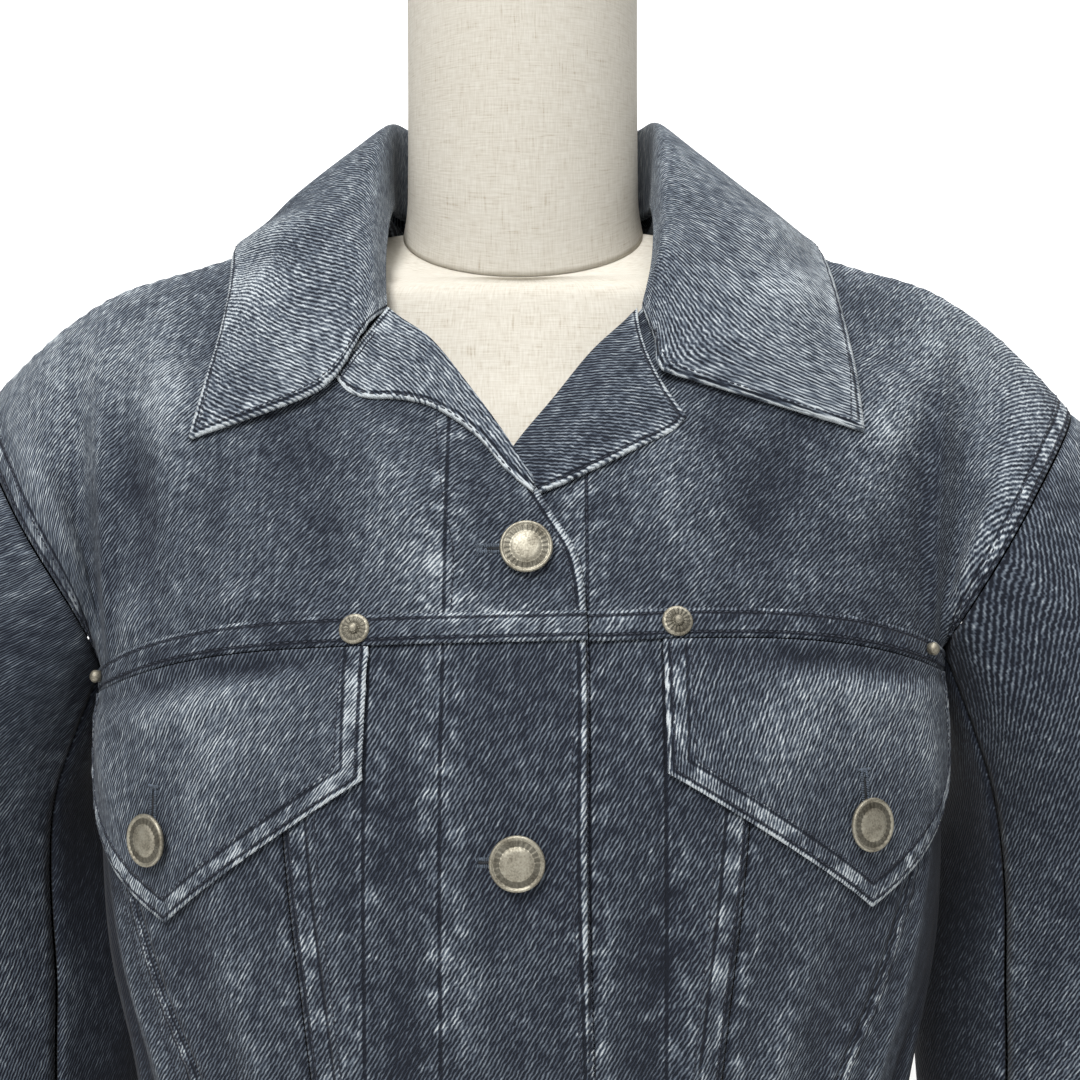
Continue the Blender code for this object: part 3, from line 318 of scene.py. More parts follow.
# How place_of nears a place: the step that it measures with, the longest that it takes and how often.
PLACE_STEP = 0.002
PLACE_STRIDE = 0.2
PLACE_ROUNDS = 14
PLACE_CLIMBS = (0.02, 1.99)


def place_of(x, height):
    """(around, climb) of the front's cloth that shows at x and a height, seen from the front."""
    x, height = floats(x, height)
    around = x / GIRTH_SHARE
    climb = 1 + (height - YOKE_FRONT) / np.where(height > YOKE_FRONT, YOKE_LENGTH, YOKE_FRONT - HEM)
    for _ in range(PLACE_ROUNDS):
        here = base_point(around, climb)
        by_around = (base_point(around + PLACE_STEP, climb) - here) / PLACE_STEP
        by_climb = (base_point(around, climb + PLACE_STEP) - here) / PLACE_STEP
        miss_x, miss_z = x - here[..., 0], height - here[..., 2]
        area = by_around[..., 0] * by_climb[..., 2] - by_climb[..., 0] * by_around[..., 2]
        sideways = (miss_x * by_climb[..., 2] - miss_z * by_climb[..., 0]) / area
        upwards = (miss_z * by_around[..., 0] - miss_x * by_around[..., 2]) / area
        around = around + np.clip(sideways, -PLACE_STRIDE, PLACE_STRIDE)
        climb = np.clip(climb + np.clip(upwards, -PLACE_STRIDE, PLACE_STRIDE), *PLACE_CLIMBS)
    return around, climb


# The edge of each front from the hem up: the free edge, the break, the roll of the lapel and the neckline.
# Positive is on the front's own side of the centre. over is the right front, which closes over the left.
Edge = namedtuple("Edge", "height over under")
FRONT_EDGE = (
    Edge(0.273, -0.0300, -0.0240),
    Edge(0.520, -0.0296, -0.0240),
    Edge(0.600, -0.0272, -0.0240),
    Edge(0.687, -0.0272, -0.0240),
    Edge(0.702, -0.0262, -0.0225),
    Edge(0.716, -0.0226, -0.0190),
    Edge(0.728, -0.0146, -0.0150),
    Edge(0.7385, -0.0075, -0.0110),
    Edge(0.7536, 0.0030, -0.0030),
    Edge(0.776, 0.0205, 0.0150),
    Edge(0.797, 0.0375, 0.0320),
    Edge(0.8155, 0.0560, 0.0510),
    Edge(0.840, 0.0612, 0.0605),
    Edge(0.8655, 0.0615, 0.0615),
)
BREAK_HEIGHT = 0.7385
GORGE_HEIGHT = 0.8145
EDGE_REACH = (-0.35, 0.6)  # places around the body that an edge lies between, on its own side
EDGE_HALVINGS = 26


def edge_name(side):
    """Whether a front lies over the other or under it, as the tables name it."""
    return "over" if side == RIGHT else "under"


def front_edge(side, height):
    """Signed x of a front's edge at a height."""
    return side * read(FRONT_EDGE, height, edge_name(side))


def edge_around(side, climb):
    """The place around the body where a front's edge crosses a line of even climb."""
    low, high = (np.full_like(climb, reach) for reach in EDGE_REACH)
    for _ in range(EDGE_HALVINGS):
        middle = (low + high) / 2
        point = base_point(side * middle, climb)
        short = side * point[..., 0] < side * front_edge(side, point[..., 2])
        low, high = np.where(short, middle, low), np.where(short, high, middle)
    return side * (low + high) / 2


def closure_lift(side, x, height):
    """How far a front stands out, or in, where the two fronts lie on each other."""
    near = 1 - smooth(*CLOSURE_FADE, np.abs(x))
    if side == LEFT:
        return -CLOSURE_LIFT * near
    return (CLOSURE_LIFT + BREAK_LIFT * smooth(*BREAK_HEIGHTS, height)) * near


def on_front(side, around, climb, lift=0.0):
    """A point off the outer face of one front, with the step of the closure."""
    seen = base_point(around, climb)
    return on_cloth(around, climb, lift + closure_lift(side, seen[..., 0], seen[..., 2]))


def inset(share, margin):
    """Squeezes 0 to 1 into margin to 1 - margin."""
    return margin + share * (1 - 2 * margin)


def facing(point, normal):
    """A matrix that puts an object at a point with its Z along a normal."""
    return Matrix.Translation(Vector(point)) @ Vector(normal).to_track_quat("Z", "Y").to_matrix().to_4x4()


# The seams of the lower body on one side: the front ones are an x, the back ones a place around the body.
Seam = namedtuple("Seam", "height front_seam curved_seam side_back back_seam")
SEAMS = (
    Seam(0.273, 0.066, 0.098, 1.30, 1.66),
    Seam(0.390, 0.070, 0.104, 1.30, 1.66),
    Seam(0.450, 0.073, 0.111, 1.30, 1.65),
    Seam(0.510, 0.0765, 0.1235, 1.30, 1.63),
    Seam(0.545, 0.080, 0.139, 1.30, 1.62),
    Seam(0.580, 0.084, 0.152, 1.30, 1.61),
    Seam(0.620, 0.088, 0.163, 1.30, 1.60),
    Seam(0.692, 0.092, 0.171, 1.30, 1.58),
)
SEAM_ROUNDS = 6  # how often a height is brought nearer to where its seams slant


def around_of(x, height):
    """The place around the body of an x on the front of the lower body."""
    sine = np.clip(x / read(BODY, height, "half_width"), -1, 1)
    return np.sign(sine) * np.arcsin(np.abs(sine) ** (1 / ROUNDNESS)) / (math.pi / 2)


def seam_around(seam, side, height):
    """The place around the body of a seam of the lower body, or of the front's free edge."""
    if seam == "edge":
        return around_of(front_edge(side, height), height)
    if seam in ("side_back", "back_seam"):
        return side * read(SEAMS, height, seam)
    return around_of(side * read(SEAMS, height, seam), height)


def panel_height(around, up):
    """The height at a share of a lower panel's length, half a seam gap inside each end."""
    bottom = BAND_TOP + SEAM_GAP / 2
    return bottom + up * (yoke_seam(around) - SEAM_GAP / 2 - bottom)


def lower_point(side, start, end, across, up):
    """(around, climb) of a point between two seams of the lower body, half a seam gap inside each edge."""
    around = seam_around(start, side, BAND_TOP + up * (YOKE_FRONT - BAND_TOP))
    for _ in range(SEAM_ROUNDS):
        height = panel_height(around, up)
        first = seam_around(start, side, height)
        last = seam_around(end, side, height)
        margin = SEAM_GAP / 2 / (np.abs(last - first) * GIRTH_SHARE)
        around = first + inset(across, margin) * (last - first)
    return around, climb_of(around, height)


def yoke_climb(up):
    """Inside the yoke seam by half a seam gap, and inside the ridge by half the gap there."""
    return 1 + SEAM_GAP / 2 / YOKE_LENGTH + up * (1 - (SEAM_GAP + RIDGE_GAP) / 2 / YOKE_LENGTH)


STRIP_WIDTH = 0.012
STRIP_END = 0.955  # place around the body where a strip's tab ends
FLAP_INNER, FLAP_OUTER = 0.178, 0.860  # places around the body of a flap's sides
FLAP_INNER_FOOT = 0.0475  # below the strip
FLAP_OUTER_FOOT = 0.0430
FLAP_POINT = 0.098
FLAP_BOW = 0.0025  # how far each lower edge bows out
FLAP_PUFF = 0.0006


def strip_climb(around, below):
    """The climb at a distance below the front yoke seam."""
    return np.where(below > 0, climb_of(around, yoke_seam(around) - below), 1 - below / YOKE_LENGTH)


# The outer edge of each lapel from the break to its corner, x on the lapel's own side. bow is how far out the
# cloth bends halfway to the roll.
LapelEdge = namedtuple("LapelEdge", "share over_x over_z over_bow under_x under_z under_bow")
LAPEL_EDGE = (
    LapelEdge(0.00, -0.0070, 0.7350, 0.0000, -0.0060, 0.7340, 0.0000),
    LapelEdge(0.12, 0.0035, 0.7430, 0.0000, 0.0045, 0.7365, 0.0000),
    LapelEdge(0.30, 0.0165, 0.7570, 0.0000, 0.0170, 0.7410, 0.0000),
    LapelEdge(0.50, 0.0320, 0.7680, 0.0000, 0.0310, 0.7475, 0.0000),
    LapelEdge(0.72, 0.0485, 0.7745, 0.0000, 0.0480, 0.7555, 0.0000),
    LapelEdge(0.93, 0.0705, 0.7800, 0.0005, 0.0640, 0.7635, -0.0020),
    LapelEdge(1.00, 0.0755, 0.7860, 0.0010, 0.0680, 0.7680, -0.0045),
)
LAPEL_ROLL = 0.0012  # how much further a lapel stands at its roll
LAPEL_MARGIN = 0.004  # the share that is left free at each end


# Collar: one row for each section, from the front end on the wearer's right round the back to the left one.
# A section climbs from the neckline to the roll and falls over the yoke to the collar's edge. share and over
# are a place on the yokes: over is 0 on the ridge, 1 at the front yoke seam and -1 at the back one.
Section = namedtuple(
    "Section",
    "station base_x base_y base_z roll_x roll_y roll_z"
    " mid_share mid_over mid_lift edge_share edge_over edge_lift",
)
COLLAR = (
    Section(-1.0, -0.0558, -0.0385, 0.816, -0.0632, -0.049, 0.808, -0.29, 0.466, 0.006, -0.526, 0.526, 0.0036),
    Section(-0.9, -0.0578, -0.0245, 0.836, -0.0665, -0.029, 0.84, -0.345, 0.29, 0.008, -0.492, 0.37, 0.004),
    Section(-0.78, -0.0583, -0.011, 0.853, -0.0682, -0.0085, 0.865, -0.35, 0.13, 0.012, -0.466, 0.22, 0.0045),
    Section(-0.58, -0.058, 0.014, 0.869, -0.0665, 0.028, 0.905, -0.35, 0.01, 0.019, -0.457, 0.01, 0.005),
    Section(-0.42, -0.0585, 0.044, 0.871, -0.0625, 0.058, 0.919, -0.295, -0.15, 0.02, -0.4, -0.18, 0.007),
    Section(-0.32, -0.0505, 0.068, 0.8715, -0.055, 0.0775, 0.9195, -0.205, -0.17, 0.022, -0.32, -0.27, 0.0075),
    Section(-0.22, -0.035, 0.0845, 0.872, -0.04, 0.0935, 0.9185, -0.12, -0.07, 0.019, -0.215, -0.33, 0.0075),
    Section(0.0, 0.0, 0.0945, 0.872, 0.0, 0.106, 0.917, 0.0, -0.05, 0.02, 0.0, -0.26, 0.007),
    Section(0.22, 0.035, 0.0845, 0.872, 0.04, 0.0935, 0.9185, 0.12, -0.07, 0.019, 0.215, -0.33, 0.0075),
    Section(0.32, 0.0505, 0.068, 0.8715, 0.055, 0.0775, 0.9195, 0.205, -0.17, 0.022, 0.32, -0.27, 0.0075),
    Section(0.42, 0.0585, 0.044, 0.871, 0.0625, 0.058, 0.919, 0.295, -0.15, 0.02, 0.4, -0.18, 0.007),
    Section(0.58, 0.058, 0.014, 0.869, 0.0665, 0.028, 0.905, 0.35, 0.01, 0.019, 0.467, 0.01, 0.005),
    Section(0.78, 0.0583, -0.011, 0.853, 0.0682, -0.0085, 0.865, 0.37, 0.13, 0.012, 0.51, 0.19, 0.0045),
    Section(0.9, 0.0562, -0.025, 0.8355, 0.0645, -0.029, 0.8395, 0.35, 0.3, 0.008, 0.54, 0.35, 0.004),
    Section(1.0, 0.0517, -0.0385, 0.817, 0.056, -0.049, 0.803, 0.216, 0.438, 0.0065, 0.555, 0.5, 0.0036),
)
ROLL_AT, MID_AT = 0.28, 0.62  # where a section's roll and its middle lie along it
ROLL_TURN = 0.9  # how far a section runs on before it turns over the roll
COLLAR_BEND = 0.70  # radians that the collar's pattern turns through from end to end


def over_shoulder(share, over, lift):
    """A point that stands lift off the yokes, counted from the shoulder seam."""
    around = np.where(over >= 0, share, np.where(share < 0, RIGHT, LEFT) * (2 - np.abs(share)))
    return on_cloth(around, 2 - np.abs(over), lift)


def collar_point(station, fall):
    """A point of the collar's visible face: fall is 0 at the neckline and 1 at the edge."""
    base, roll = read_point(COLLAR, station, "base_"), read_point(COLLAR, station, "roll_")
    mid, edge = (
        over_shoulder(*(read(COLLAR, station, part + name) for name in ("share", "over", "lift")))
        for part in ("mid_", "edge_")
    )
    rising, falling = (roll - base) * ROLL_TURN, (mid - roll) * ROLL_TURN
    turn, along = (rising + falling) / 2, edge - roll
    shortest = np.minimum(length(mid - roll), length(edge - mid))
    along = along / length(along) * shortest
    at = fall[..., None]
    stand = hermite(base, roll, rising, turn, np.clip(at / ROLL_AT, 0, 1))
    leaf = hermite(roll, mid, turn, along, np.clip((at - ROLL_AT) / (MID_AT - ROLL_AT), 0, 1))
    tip = hermite(mid, edge, along, edge - mid, np.clip((at - MID_AT) / (1 - MID_AT), 0, 1))
    return np.where(at < ROLL_AT, stand, np.where(at < MID_AT, leaf, tip))


# Sleeves: one row for each ring, from the armhole to the cuff. lean is how far its outer side stands higher
# than its middle, and skew how far its back lies nearer to the body than its middle. A place round a sleeve
# runs from 0 on its outer side, down its front, to 0.5 on its inner side.
SleeveRing = namedtuple("SleeveRing", "down centre_x centre_y centre_z half_width half_depth lean skew")
SLEEVE = (
    SleeveRing(0.00, 0.2130, -0.004, 0.7180, 0.0330, 0.0520, 0.0550, 0.000),
    SleeveRing(0.07, 0.2330, -0.004, 0.6840, 0.0420, 0.0600, 0.0540, 0.006),
    SleeveRing(0.16, 0.2480, -0.004, 0.6400, 0.0490, 0.0620, 0.0400, 0.016),
    SleeveRing(0.27, 0.2560, -0.004, 0.5850, 0.0530, 0.0600, 0.0240, 0.028),
    SleeveRing(0.40, 0.2575, -0.005, 0.5200, 0.0535, 0.0580, 0.0090, 0.034),
    SleeveRing(0.55, 0.2570, -0.009, 0.4450, 0.0520, 0.0555, 0.0020, 0.031),
    SleeveRing(0.70, 0.2570, -0.016, 0.3750, 0.0500, 0.0530, 0.0000, 0.022),
    SleeveRing(0.85, 0.2555, -0.026, 0.3100, 0.0445, 0.0490, 0.0000, 0.010),
    SleeveRing(1.00, 0.2550, -0.036, 0.2550, 0.0400, 0.0450, 0.0000, 0.000),
)
SLEEVE_ROUNDNESS = 0.80  # 1 for an ellipse, less for squarer rings
SLEEVE_NEARER = {RIGHT: 0.012, LEFT: 0.006}  # how much nearer to the body each sleeve hangs
NEARER_FROM = (0.10, 0.40)
ARMHOLE_REACH = 0.22  # how far down the sleeve the armhole's own shape fades
SLEEVE_LENGTH, SLEEVE_GIRTH = 0.50, 0.30
SLEEVE_FRONT_SEAM, SLEEVE_BACK_SEAM = 0.46, 0.74
CUFF_HEIGHT = 0.040
SleeveFold = namedtuple("SleeveFold", "round_at down_at half_round half_down lean depth")
SLEEVE_FOLDS = (
    SleeveFold(0.20, 0.30, 0.035, 0.26, 0.06, 0.004),
    SleeveFold(0.33, 0.42, 0.030, 0.22, -0.04, 0.003),
    SleeveFold(0.42, 0.52, 0.060, 0.05, 0.60, -0.005),
    SleeveFold(0.40, 0.61, 0.060, 0.05, 0.60, -0.005),
    SleeveFold(0.78, 0.50, 0.040, 0.20, 0.05, 0.004),
    SleeveFold(0.30, 0.90, 0.080, 0.04, 0.40, -0.003),
)


def squared(value):
    """A sine or a cosine that draws a squarer ring."""
    return np.sign(value) * np.abs(value) ** SLEEVE_ROUNDNESS


def sleeve_ring(side, about, down):
    """A point of a sleeve's ring, before the armhole and the folds bend it."""
    angle = 2 * math.pi * about
    out, ahead = squared(np.cos(angle)), squared(np.sin(angle))
    value = {name: read(SLEEVE, down, name) for name in SleeveRing._fields[1:]}
    x = value["centre_x"] + value["half_width"] * out + value["skew"] * ahead
    x = x - SLEEVE_NEARER[side] * smooth(*NEARER_FROM, down)
    y = value["centre_y"] - value["half_depth"] * ahead
    return np.stack([side * x, y, value["centre_z"] + value["lean"] * np.cos(angle)], axis=-1)


def armhole_point(side, about):
    """A point of the armhole's edge, from the shoulder down the front to the underarm and up the back."""
    front = about < 0.5
    climb = np.where(front, 2 - 2 * about, 2 * about)
    return base_point(side * np.where(front, 1.0, PAST_SIDE), np.clip(climb, 1.0, 2.0))


def sleeve_base(side, about, down):
    """A point of a sleeve that starts on its armhole, before its folds."""
    about = np.mod(about, 1.0)
    stretch = armhole_point(side, about) - sleeve_ring(side, about, 0 * down)
    return sleeve_ring(side, about, down) + (1 - smooth(0, ARMHOLE_REACH, down))[..., None] * stretch


def sleeve_point(side, about, down):
    """A point of a sleeve's outer face, with its folds."""
    about, down = floats(about, down)
    depth = np.zeros_like(about)
    for fold in SLEEVE_FOLDS:
        middle = fold.down_at + fold.lean * (about - fold.round_at)
        near = ((about - fold.round_at) / fold.half_round) ** 2 + ((down - middle) / fold.half_down) ** 2
        depth = depth + fold.depth * np.exp(-near)
    across = sleeve_base(side, about + SLOPE_STEP, down) - sleeve_base(side, about - SLOPE_STEP, down)
    below, above = np.minimum(down + SLOPE_STEP, 1), np.maximum(down - SLOPE_STEP, 0)
    along = sleeve_base(side, about, below) - sleeve_base(side, about, above)
    return sleeve_base(side, about, down) + depth[..., None] * unit(np.cross(across, along) * -side)


def cuff_ring(side, about):
    """The cuff's outline, which stands out from the sleeve's end by its extra thickness."""
    outline = sleeve_ring(side, about, 1 + 0 * about)
    middle = np.array([side * (SLEEVE[-1].centre_x - SLEEVE_NEARER[side]), SLEEVE[-1].centre_y, 0])
    return middle + (outline - middle) * (1 + (DOUBLED - WALL) / SLEEVE[-1].half_width) * [1, 1, 0]


# The x and the height of each button, x on its own side for the flaps, and the places of what else is metal
FRONT_BUTTONS = ((0.0040, 0.7155), (0.0010, 0.6030), (0.0010, 0.5000), (0.0010, 0.3966), (0.0010, 0.2930))
FLAP_BUTTON = {RIGHT: (0.1395, 0.6040), LEFT: (0.1320, 0.6110)}
RIVET_AROUND = 0.198
STUD_AROUND = {RIGHT: 0.800, LEFT: 0.730}
CUFF_BUTTON_ABOUT = 0.62
SEAT = 0.0004  # how far a button stands off the cloth


def seated(surface, around, climb, seat=SEAT):
    """The matrix of a piece that sits on a surface function with its axis along the normal."""
    around, climb = np.array([float(around)]), np.array([float(climb)])
    normal = normals(surface, around, climb)[0]
    return facing(surface(around, climb)[0] + seat * normal, normal)


# Dress form: one row for each ring. dip is how far its front hangs lower than its sides, and rise how far its
# back stands higher.
FormRing = namedtuple("FormRing", "height half_width front back middle_y dip rise")
TORSO = (
    FormRing(0.190, 0.146, 0.088, 0.098, 0.000, 0.000, 0.000),
    FormRing(0.250, 0.151, 0.092, 0.102, 0.000, 0.000, 0.000),
    FormRing(0.330, 0.142, 0.084, 0.080, 0.000, 0.000, 0.000),
    FormRing(0.430, 0.118, 0.074, 0.064, 0.000, 0.000, 0.000),
    FormRing(0.520, 0.136, 0.088, 0.074, 0.000, 0.000, 0.000),
    FormRing(0.600, 0.152, 0.103, 0.086, 0.000, 0.000, 0.000),
    FormRing(0.660, 0.155, 0.090, 0.094, 0.000, 0.000, 0.000),
    FormRing(0.720, 0.160, 0.068, 0.096, 0.002, 0.000, 0.000),
    FormRing(0.765, 0.167, 0.052, 0.090, 0.006, 0.000, 0.000),
    FormRing(0.790, 0.168, 0.043, 0.080, 0.009, 0.000, 0.000),
    FormRing(0.812, 0.166, 0.038, 0.070, 0.011, 0.000, 0.000),
    FormRing(0.8300, 0.155, 0.034, 0.056, 0.012, 0.002, 0.000),
    FormRing(0.8415, 0.134, 0.030, 0.050, 0.014, 0.011, 0.000),
    FormRing(0.8505, 0.104, 0.036, 0.046, 0.020, 0.018, 0.000),
    FormRing(0.8565, 0.077, 0.045, 0.045, 0.028, 0.024, 0.000),
    FormRing(0.8610, 0.0570, 0.0500, 0.0480, 0.036, 0.028, 0.001),
)
NECK = (
    FormRing(0.8615, 0.0565, 0.0495, 0.0475, 0.036, 0.028, 0.001),
    FormRing(0.8720, 0.0548, 0.0495, 0.0480, 0.036, 0.025, 0.001),
    FormRing(0.8900, 0.0542, 0.0500, 0.0490, 0.036, 0.016, 0.001),
    FormRing(0.9150, 0.0540, 0.0510, 0.0500, 0.036, 0.007, 0.000),
    FormRing(0.9880, 0.0540, 0.0520, 0.0520, 0.036, 0.000, 0.000),
)

# Materials


class Nodes:
    """Adds nodes to one material and joins them."""

    def __init__(self, name):
        self.material = bpy.data.materials.new(name)
        self.material.use_nodes = True
        self.tree = self.material.node_tree
        self.shader = self.tree.nodes["Principled BSDF"]

    def put(self, socket, value):
        if isinstance(value, bpy.types.NodeSocket):
            self.tree.links.new(value, socket)
        else:
            socket.default_value = value

    def add(self, kind, inputs=(), output=0, **settings):
        node = self.tree.nodes.new(kind)
        for name, value in settings.items():
            setattr(node, name, value)
        for key, value in dict(inputs).items():
            self.put(node.inputs[key], value)
        return node.outputs[output]

    def math(self, operation, *values):
        return self.add("ShaderNodeMath", enumerate(values), operation=operation)

    def mapping(self, vector, angle=0.0, scale=(1, 1, 1)):
        inputs = {"Vector": vector, "Rotation": (0, 0, math.radians(angle)), "Scale": scale}
        return self.add("ShaderNodeMapping", inputs)

    def noise(self, vector, scale, detail=2.0, roughness=0.5):
        inputs = {"Vector": vector, "Scale": scale, "Detail": detail, "Roughness": roughness}
        return self.add("ShaderNodeTexNoise", inputs)

    def span(self, value, low, high, to_low=0.0, to_high=1.0):
        """Value's range from low to high, brought smoothly to another."""
        inputs = {"Value": value, "From Min": low, "From Max": high, "To Min": to_low, "To Max": to_high}
        return self.add("ShaderNodeMapRange", inputs, interpolation_type="SMOOTHSTEP")

    def ramp(self, value, *stops):
        node = self.tree.nodes.new("ShaderNodeValToRGB")
        elements = node.color_ramp.elements
        while len(elements) < len(stops):
            elements.new(0.5)
        for element, (position, colour) in zip(elements, stops):
            element.position = position
            element.color = (*colour, 1)
        self.put(node.inputs[0], value)
        return node.outputs[0]

    def bump(self, height, distance, strength):
        inputs = {"Height": height, "Distance": distance, "Strength": strength}
        self.put(self.shader.inputs["Normal"], self.add("ShaderNodeBump", inputs))

    def surface(self, **values):
        """Sets the shader's sockets, whose names are given with _ for each space."""
        for name, value in values.items():
            self.put(self.shader.inputs[name.replace("_", " ")], value)


# Denim. The dye's tone runs from 0 to 1 through these colours.
INK = (0.0090, 0.0112, 0.0175)
INDIGO = (0.036, 0.045, 0.063)
WASHED = (0.135, 0.160, 0.190)
BARE = (0.50, 0.54, 0.56)
DYE = ((0.0, INK), (0.28, INDIGO), (0.62, WASHED), (1.0, BARE))
BASE_TONE = 0.235

# How fine the parts of its weave and its wear are, in features to the metre across and up the cloth
TWILL_PITCH = 0.00142  # across the twill lines
WAVE_PERIOD = math.pi / 10  # of a wave texture of scale 1
WOBBLE, WOBBLE_REACH = 420, 0.0011  # how the twill lines wander
DASHES = (900, 220, 1)  # along the twill lines, where the white yarn shows
SLUBS = (520, 28, 1)
RIPPLES = (135, 135, 1)
CLOUDS, PATCHES = 15, 75

# How much of each goes into the tone
CLOUDS_SHARE, PATCHES_SHARE, SLUBS_SHARE = 0.60, 0.45, 0.24
TWILL_SHARE, DASHES_SHARE = 0.68, 1.02
RIM_SHARE, PUCKER_SHARE, BAND_SHARE, GROOVE_SHADE_SHARE = 0.55, 0.34, 0.26, 0.55

# The rows of stitches, as distances from the edge that they follow
EDGE_ROW = 0.0018
PAIR = (EDGE_ROW, 0.0075)
FRONT_PAIR = (EDGE_ROW, 0.0095)
SIDE_PAIR = (EDGE_ROW, 0.0062)
FLAP_ROWS = (0.0022, 0.0088)
STRIP_ROW = 0.0020
TRIM_ROW = 0.0022
FRONT_ROW = 0.0034  # from a front's free edge
PLACKET_ROWS = (0.0275, 0.0560)  # the two rows down a front, from the front centre

# What the stitching does to the cloth, again as distances. The groove also darkens the colour as painted shade
# along each row.
GROOVE_HALF = 0.0011  # half-width of the groove that a row presses
GROOVE_CORE = 0.0001
LIP_HALF = 0.0034  # half-width of the worn lips beside it
RIM = (0.0003, 0.0024)  # an edge is bare, or darkened as painted shade where rim is below 0, up to the first and sound past the second
RIPPLED = (0.0042, 0.0125)  # the same for the ripples beside stitching
CORD = (0.0020, FRONT_ROW)  # and for the pale cord of a front's free edge
BAND_EDGES = (0.0008, 0.0006)  # how softly the pale band between two rows starts and ends


def twill_lines(n, uv, lines):
    """The heights of the twill lines and of the dashes of white yarn along them, at an angle in degrees."""
    turned_uv = n.mapping(uv, 90 - lines)
    wobble = n.noise(turned_uv, WOBBLE, 1)
    shift = n.add("ShaderNodeVectorMath", {0: wobble, 3: WOBBLE_REACH}, operation="SCALE")
    bent = n.add("ShaderNodeVectorMath", {0: turned_uv, 1: shift}, operation="ADD")
    wave = {"Vector": bent, "Scale": WAVE_PERIOD / TWILL_PITCH, "Distortion": 0.0, "Detail": 0.0}
    twill = n.add("ShaderNodeTexWave", wave, output=1, bands_direction="X")
    return twill, n.noise(n.mapping(turned_uv, 0, DASHES), 1, 1)


def row_marks(n, rows):
    """The grooves of the rows of stitches and the worn lips beside them, from pairs of distance and row."""
    groove, lips = 0.0, 0.0
    for distance, row in rows:
        offset = n.math("ABSOLUTE", n.math("SUBTRACT", distance, row))
        groove = n.math("MAXIMUM", groove, n.span(offset, GROOVE_CORE, GROOVE_HALF, 1, 0))
        lips = n.math("MAXIMUM", lips, n.span(offset, GROOVE_CORE, LIP_HALF, 1, 0))
    return groove, lips


def denim(name, lines, tone, rim, pucker, rows=(), plackets=()):
    """Washed twill. lines is the angle of the twill on the piece and tone above 0 is paler.

    rim says how bare its edges are, and below 0 how dark they are made as painted shade along the seams, and
    pucker how much the dye has gone from the ripples beside its stitching. rows are how far its rows of
    stitches run from its stitched sides, and plackets how far those down a front run from the front centre.
    """
    n = Nodes(name)
    uv = n.add("ShaderNodeUVMap", uv_map="cloth")
    twill, dashes = twill_lines(n, uv, lines)
    slubs = n.noise(n.mapping(uv, 0, SLUBS), 1, 3, 0.6)
    clouds = n.noise(uv, CLOUDS, 4, 0.6)
    patches = n.noise(uv, PATCHES, 4, 0.65)
    ripples = n.noise(n.mapping(uv, 0, RIPPLES), 1, 2)
    edge, sewn, tone_and_shade, hem, front, centre = (
        n.add("ShaderNodeAttribute", attribute_name=title, output=2)
        for title in ("edge", "sewn", "tone_and_shade", "hem", "front", "centre")
    )
    marked = [(hem, row) for row in rows]
    if plackets:
        marked += [(front, FRONT_ROW), *((centre, row) for row in plackets)]
    groove, lips = row_marks(n, marked)

    # Where rim is below 0 the edges darken: painted shade along the seams. Above 0 they pale as worn, bare
    # edges.
    edge_wear_or_shade = n.math("MULTIPLY", n.span(edge, *RIM, 1, 0), n.span(patches, 0.36, 0.64, 0.25, 1.0))
    near = n.math("MULTIPLY", n.span(sewn, *RIPPLED, 1, 0), n.span(ripples, 0.44, 0.70))
    edge_wear_or_shade, near = n.math("MULTIPLY", edge_wear_or_shade, RIM_SHARE * rim), n.math("MULTIPLY", near, PUCKER_SHARE * pucker)
    worn_lips = n.math("MULTIPLY", lips, n.span(patches, 0.40, 0.66, 0.0, 0.24))
    # The groove's darkening is painted shade along each row; the lips beside it are worn.
    lips_and_groove_shade = n.math("SUBTRACT", worn_lips, n.math("MULTIPLY", groove, GROOVE_SHADE_SHARE))
    light = n.math("ADD", n.math("ADD", edge_wear_or_shade, near), lips_and_groove_shade)
    if len(rows) == 2:
        first, second = rows
        past_first = n.span(hem, first, first + BAND_EDGES[0])
        before_second = n.span(hem, second - BAND_EDGES[1], second, 1, 0)
        pale = n.span(patches, 0.40, 0.64, 0.0, BAND_SHARE * pucker)
        light = n.math("ADD", light, n.math("MULTIPLY", n.math("MULTIPLY", before_second, past_first), pale))
    if plackets:
        cord = n.math("MULTIPLY", n.span(front, *CORD, 1, 0), n.span(patches, 0.30, 0.62, 0.16, 0.50))
        light = n.math("ADD", light, cord)
    total = n.math("ADD", BASE_TONE + tone, light)
    for value, middle, amount in (
        (clouds, 0.5, CLOUDS_SHARE),
        (patches, 0.5, PATCHES_SHARE),
        (slubs, 0.5, SLUBS_SHARE),
        (twill, 0.5, TWILL_SHARE),
        (dashes, 0.5, DASHES_SHARE),
        (tone_and_shade, 0.0, 1.0),
    ):
        total = n.math("ADD", total, n.math("MULTIPLY", n.math("SUBTRACT", value, middle), amount))
    n.surface(Base_Color=n.ramp(total, *DYE), Roughness=0.88, Sheen_Weight=0.05, Specular_IOR_Level=0.15)
    height = n.math("ADD", n.math("MULTIPLY", twill, 0.6), n.math("MULTIPLY", dashes, 0.7))
    height = n.math("SUBTRACT", height, n.math("MULTIPLY", groove, 1.6))
    n.bump(height, distance=0.00035, strength=0.9)
    return n.material


def scaled(stops, share):
    """A ramp's stops with each colour scaled."""
    return ((at, tuple(part * share for part in colour)) for at, colour in stops)


# Linen, whose yarns run both ways: how many features to the metre
LINEN_YARN, LINEN_SLUB = (160, 1900), ((75, 1000), (1000, 65))
LINEN_STOPS = ((0.16, (0.42, 0.35, 0.26)), (0.40, (0.62, 0.575, 0.49)), (0.62, (0.72, 0.685, 0.605)))


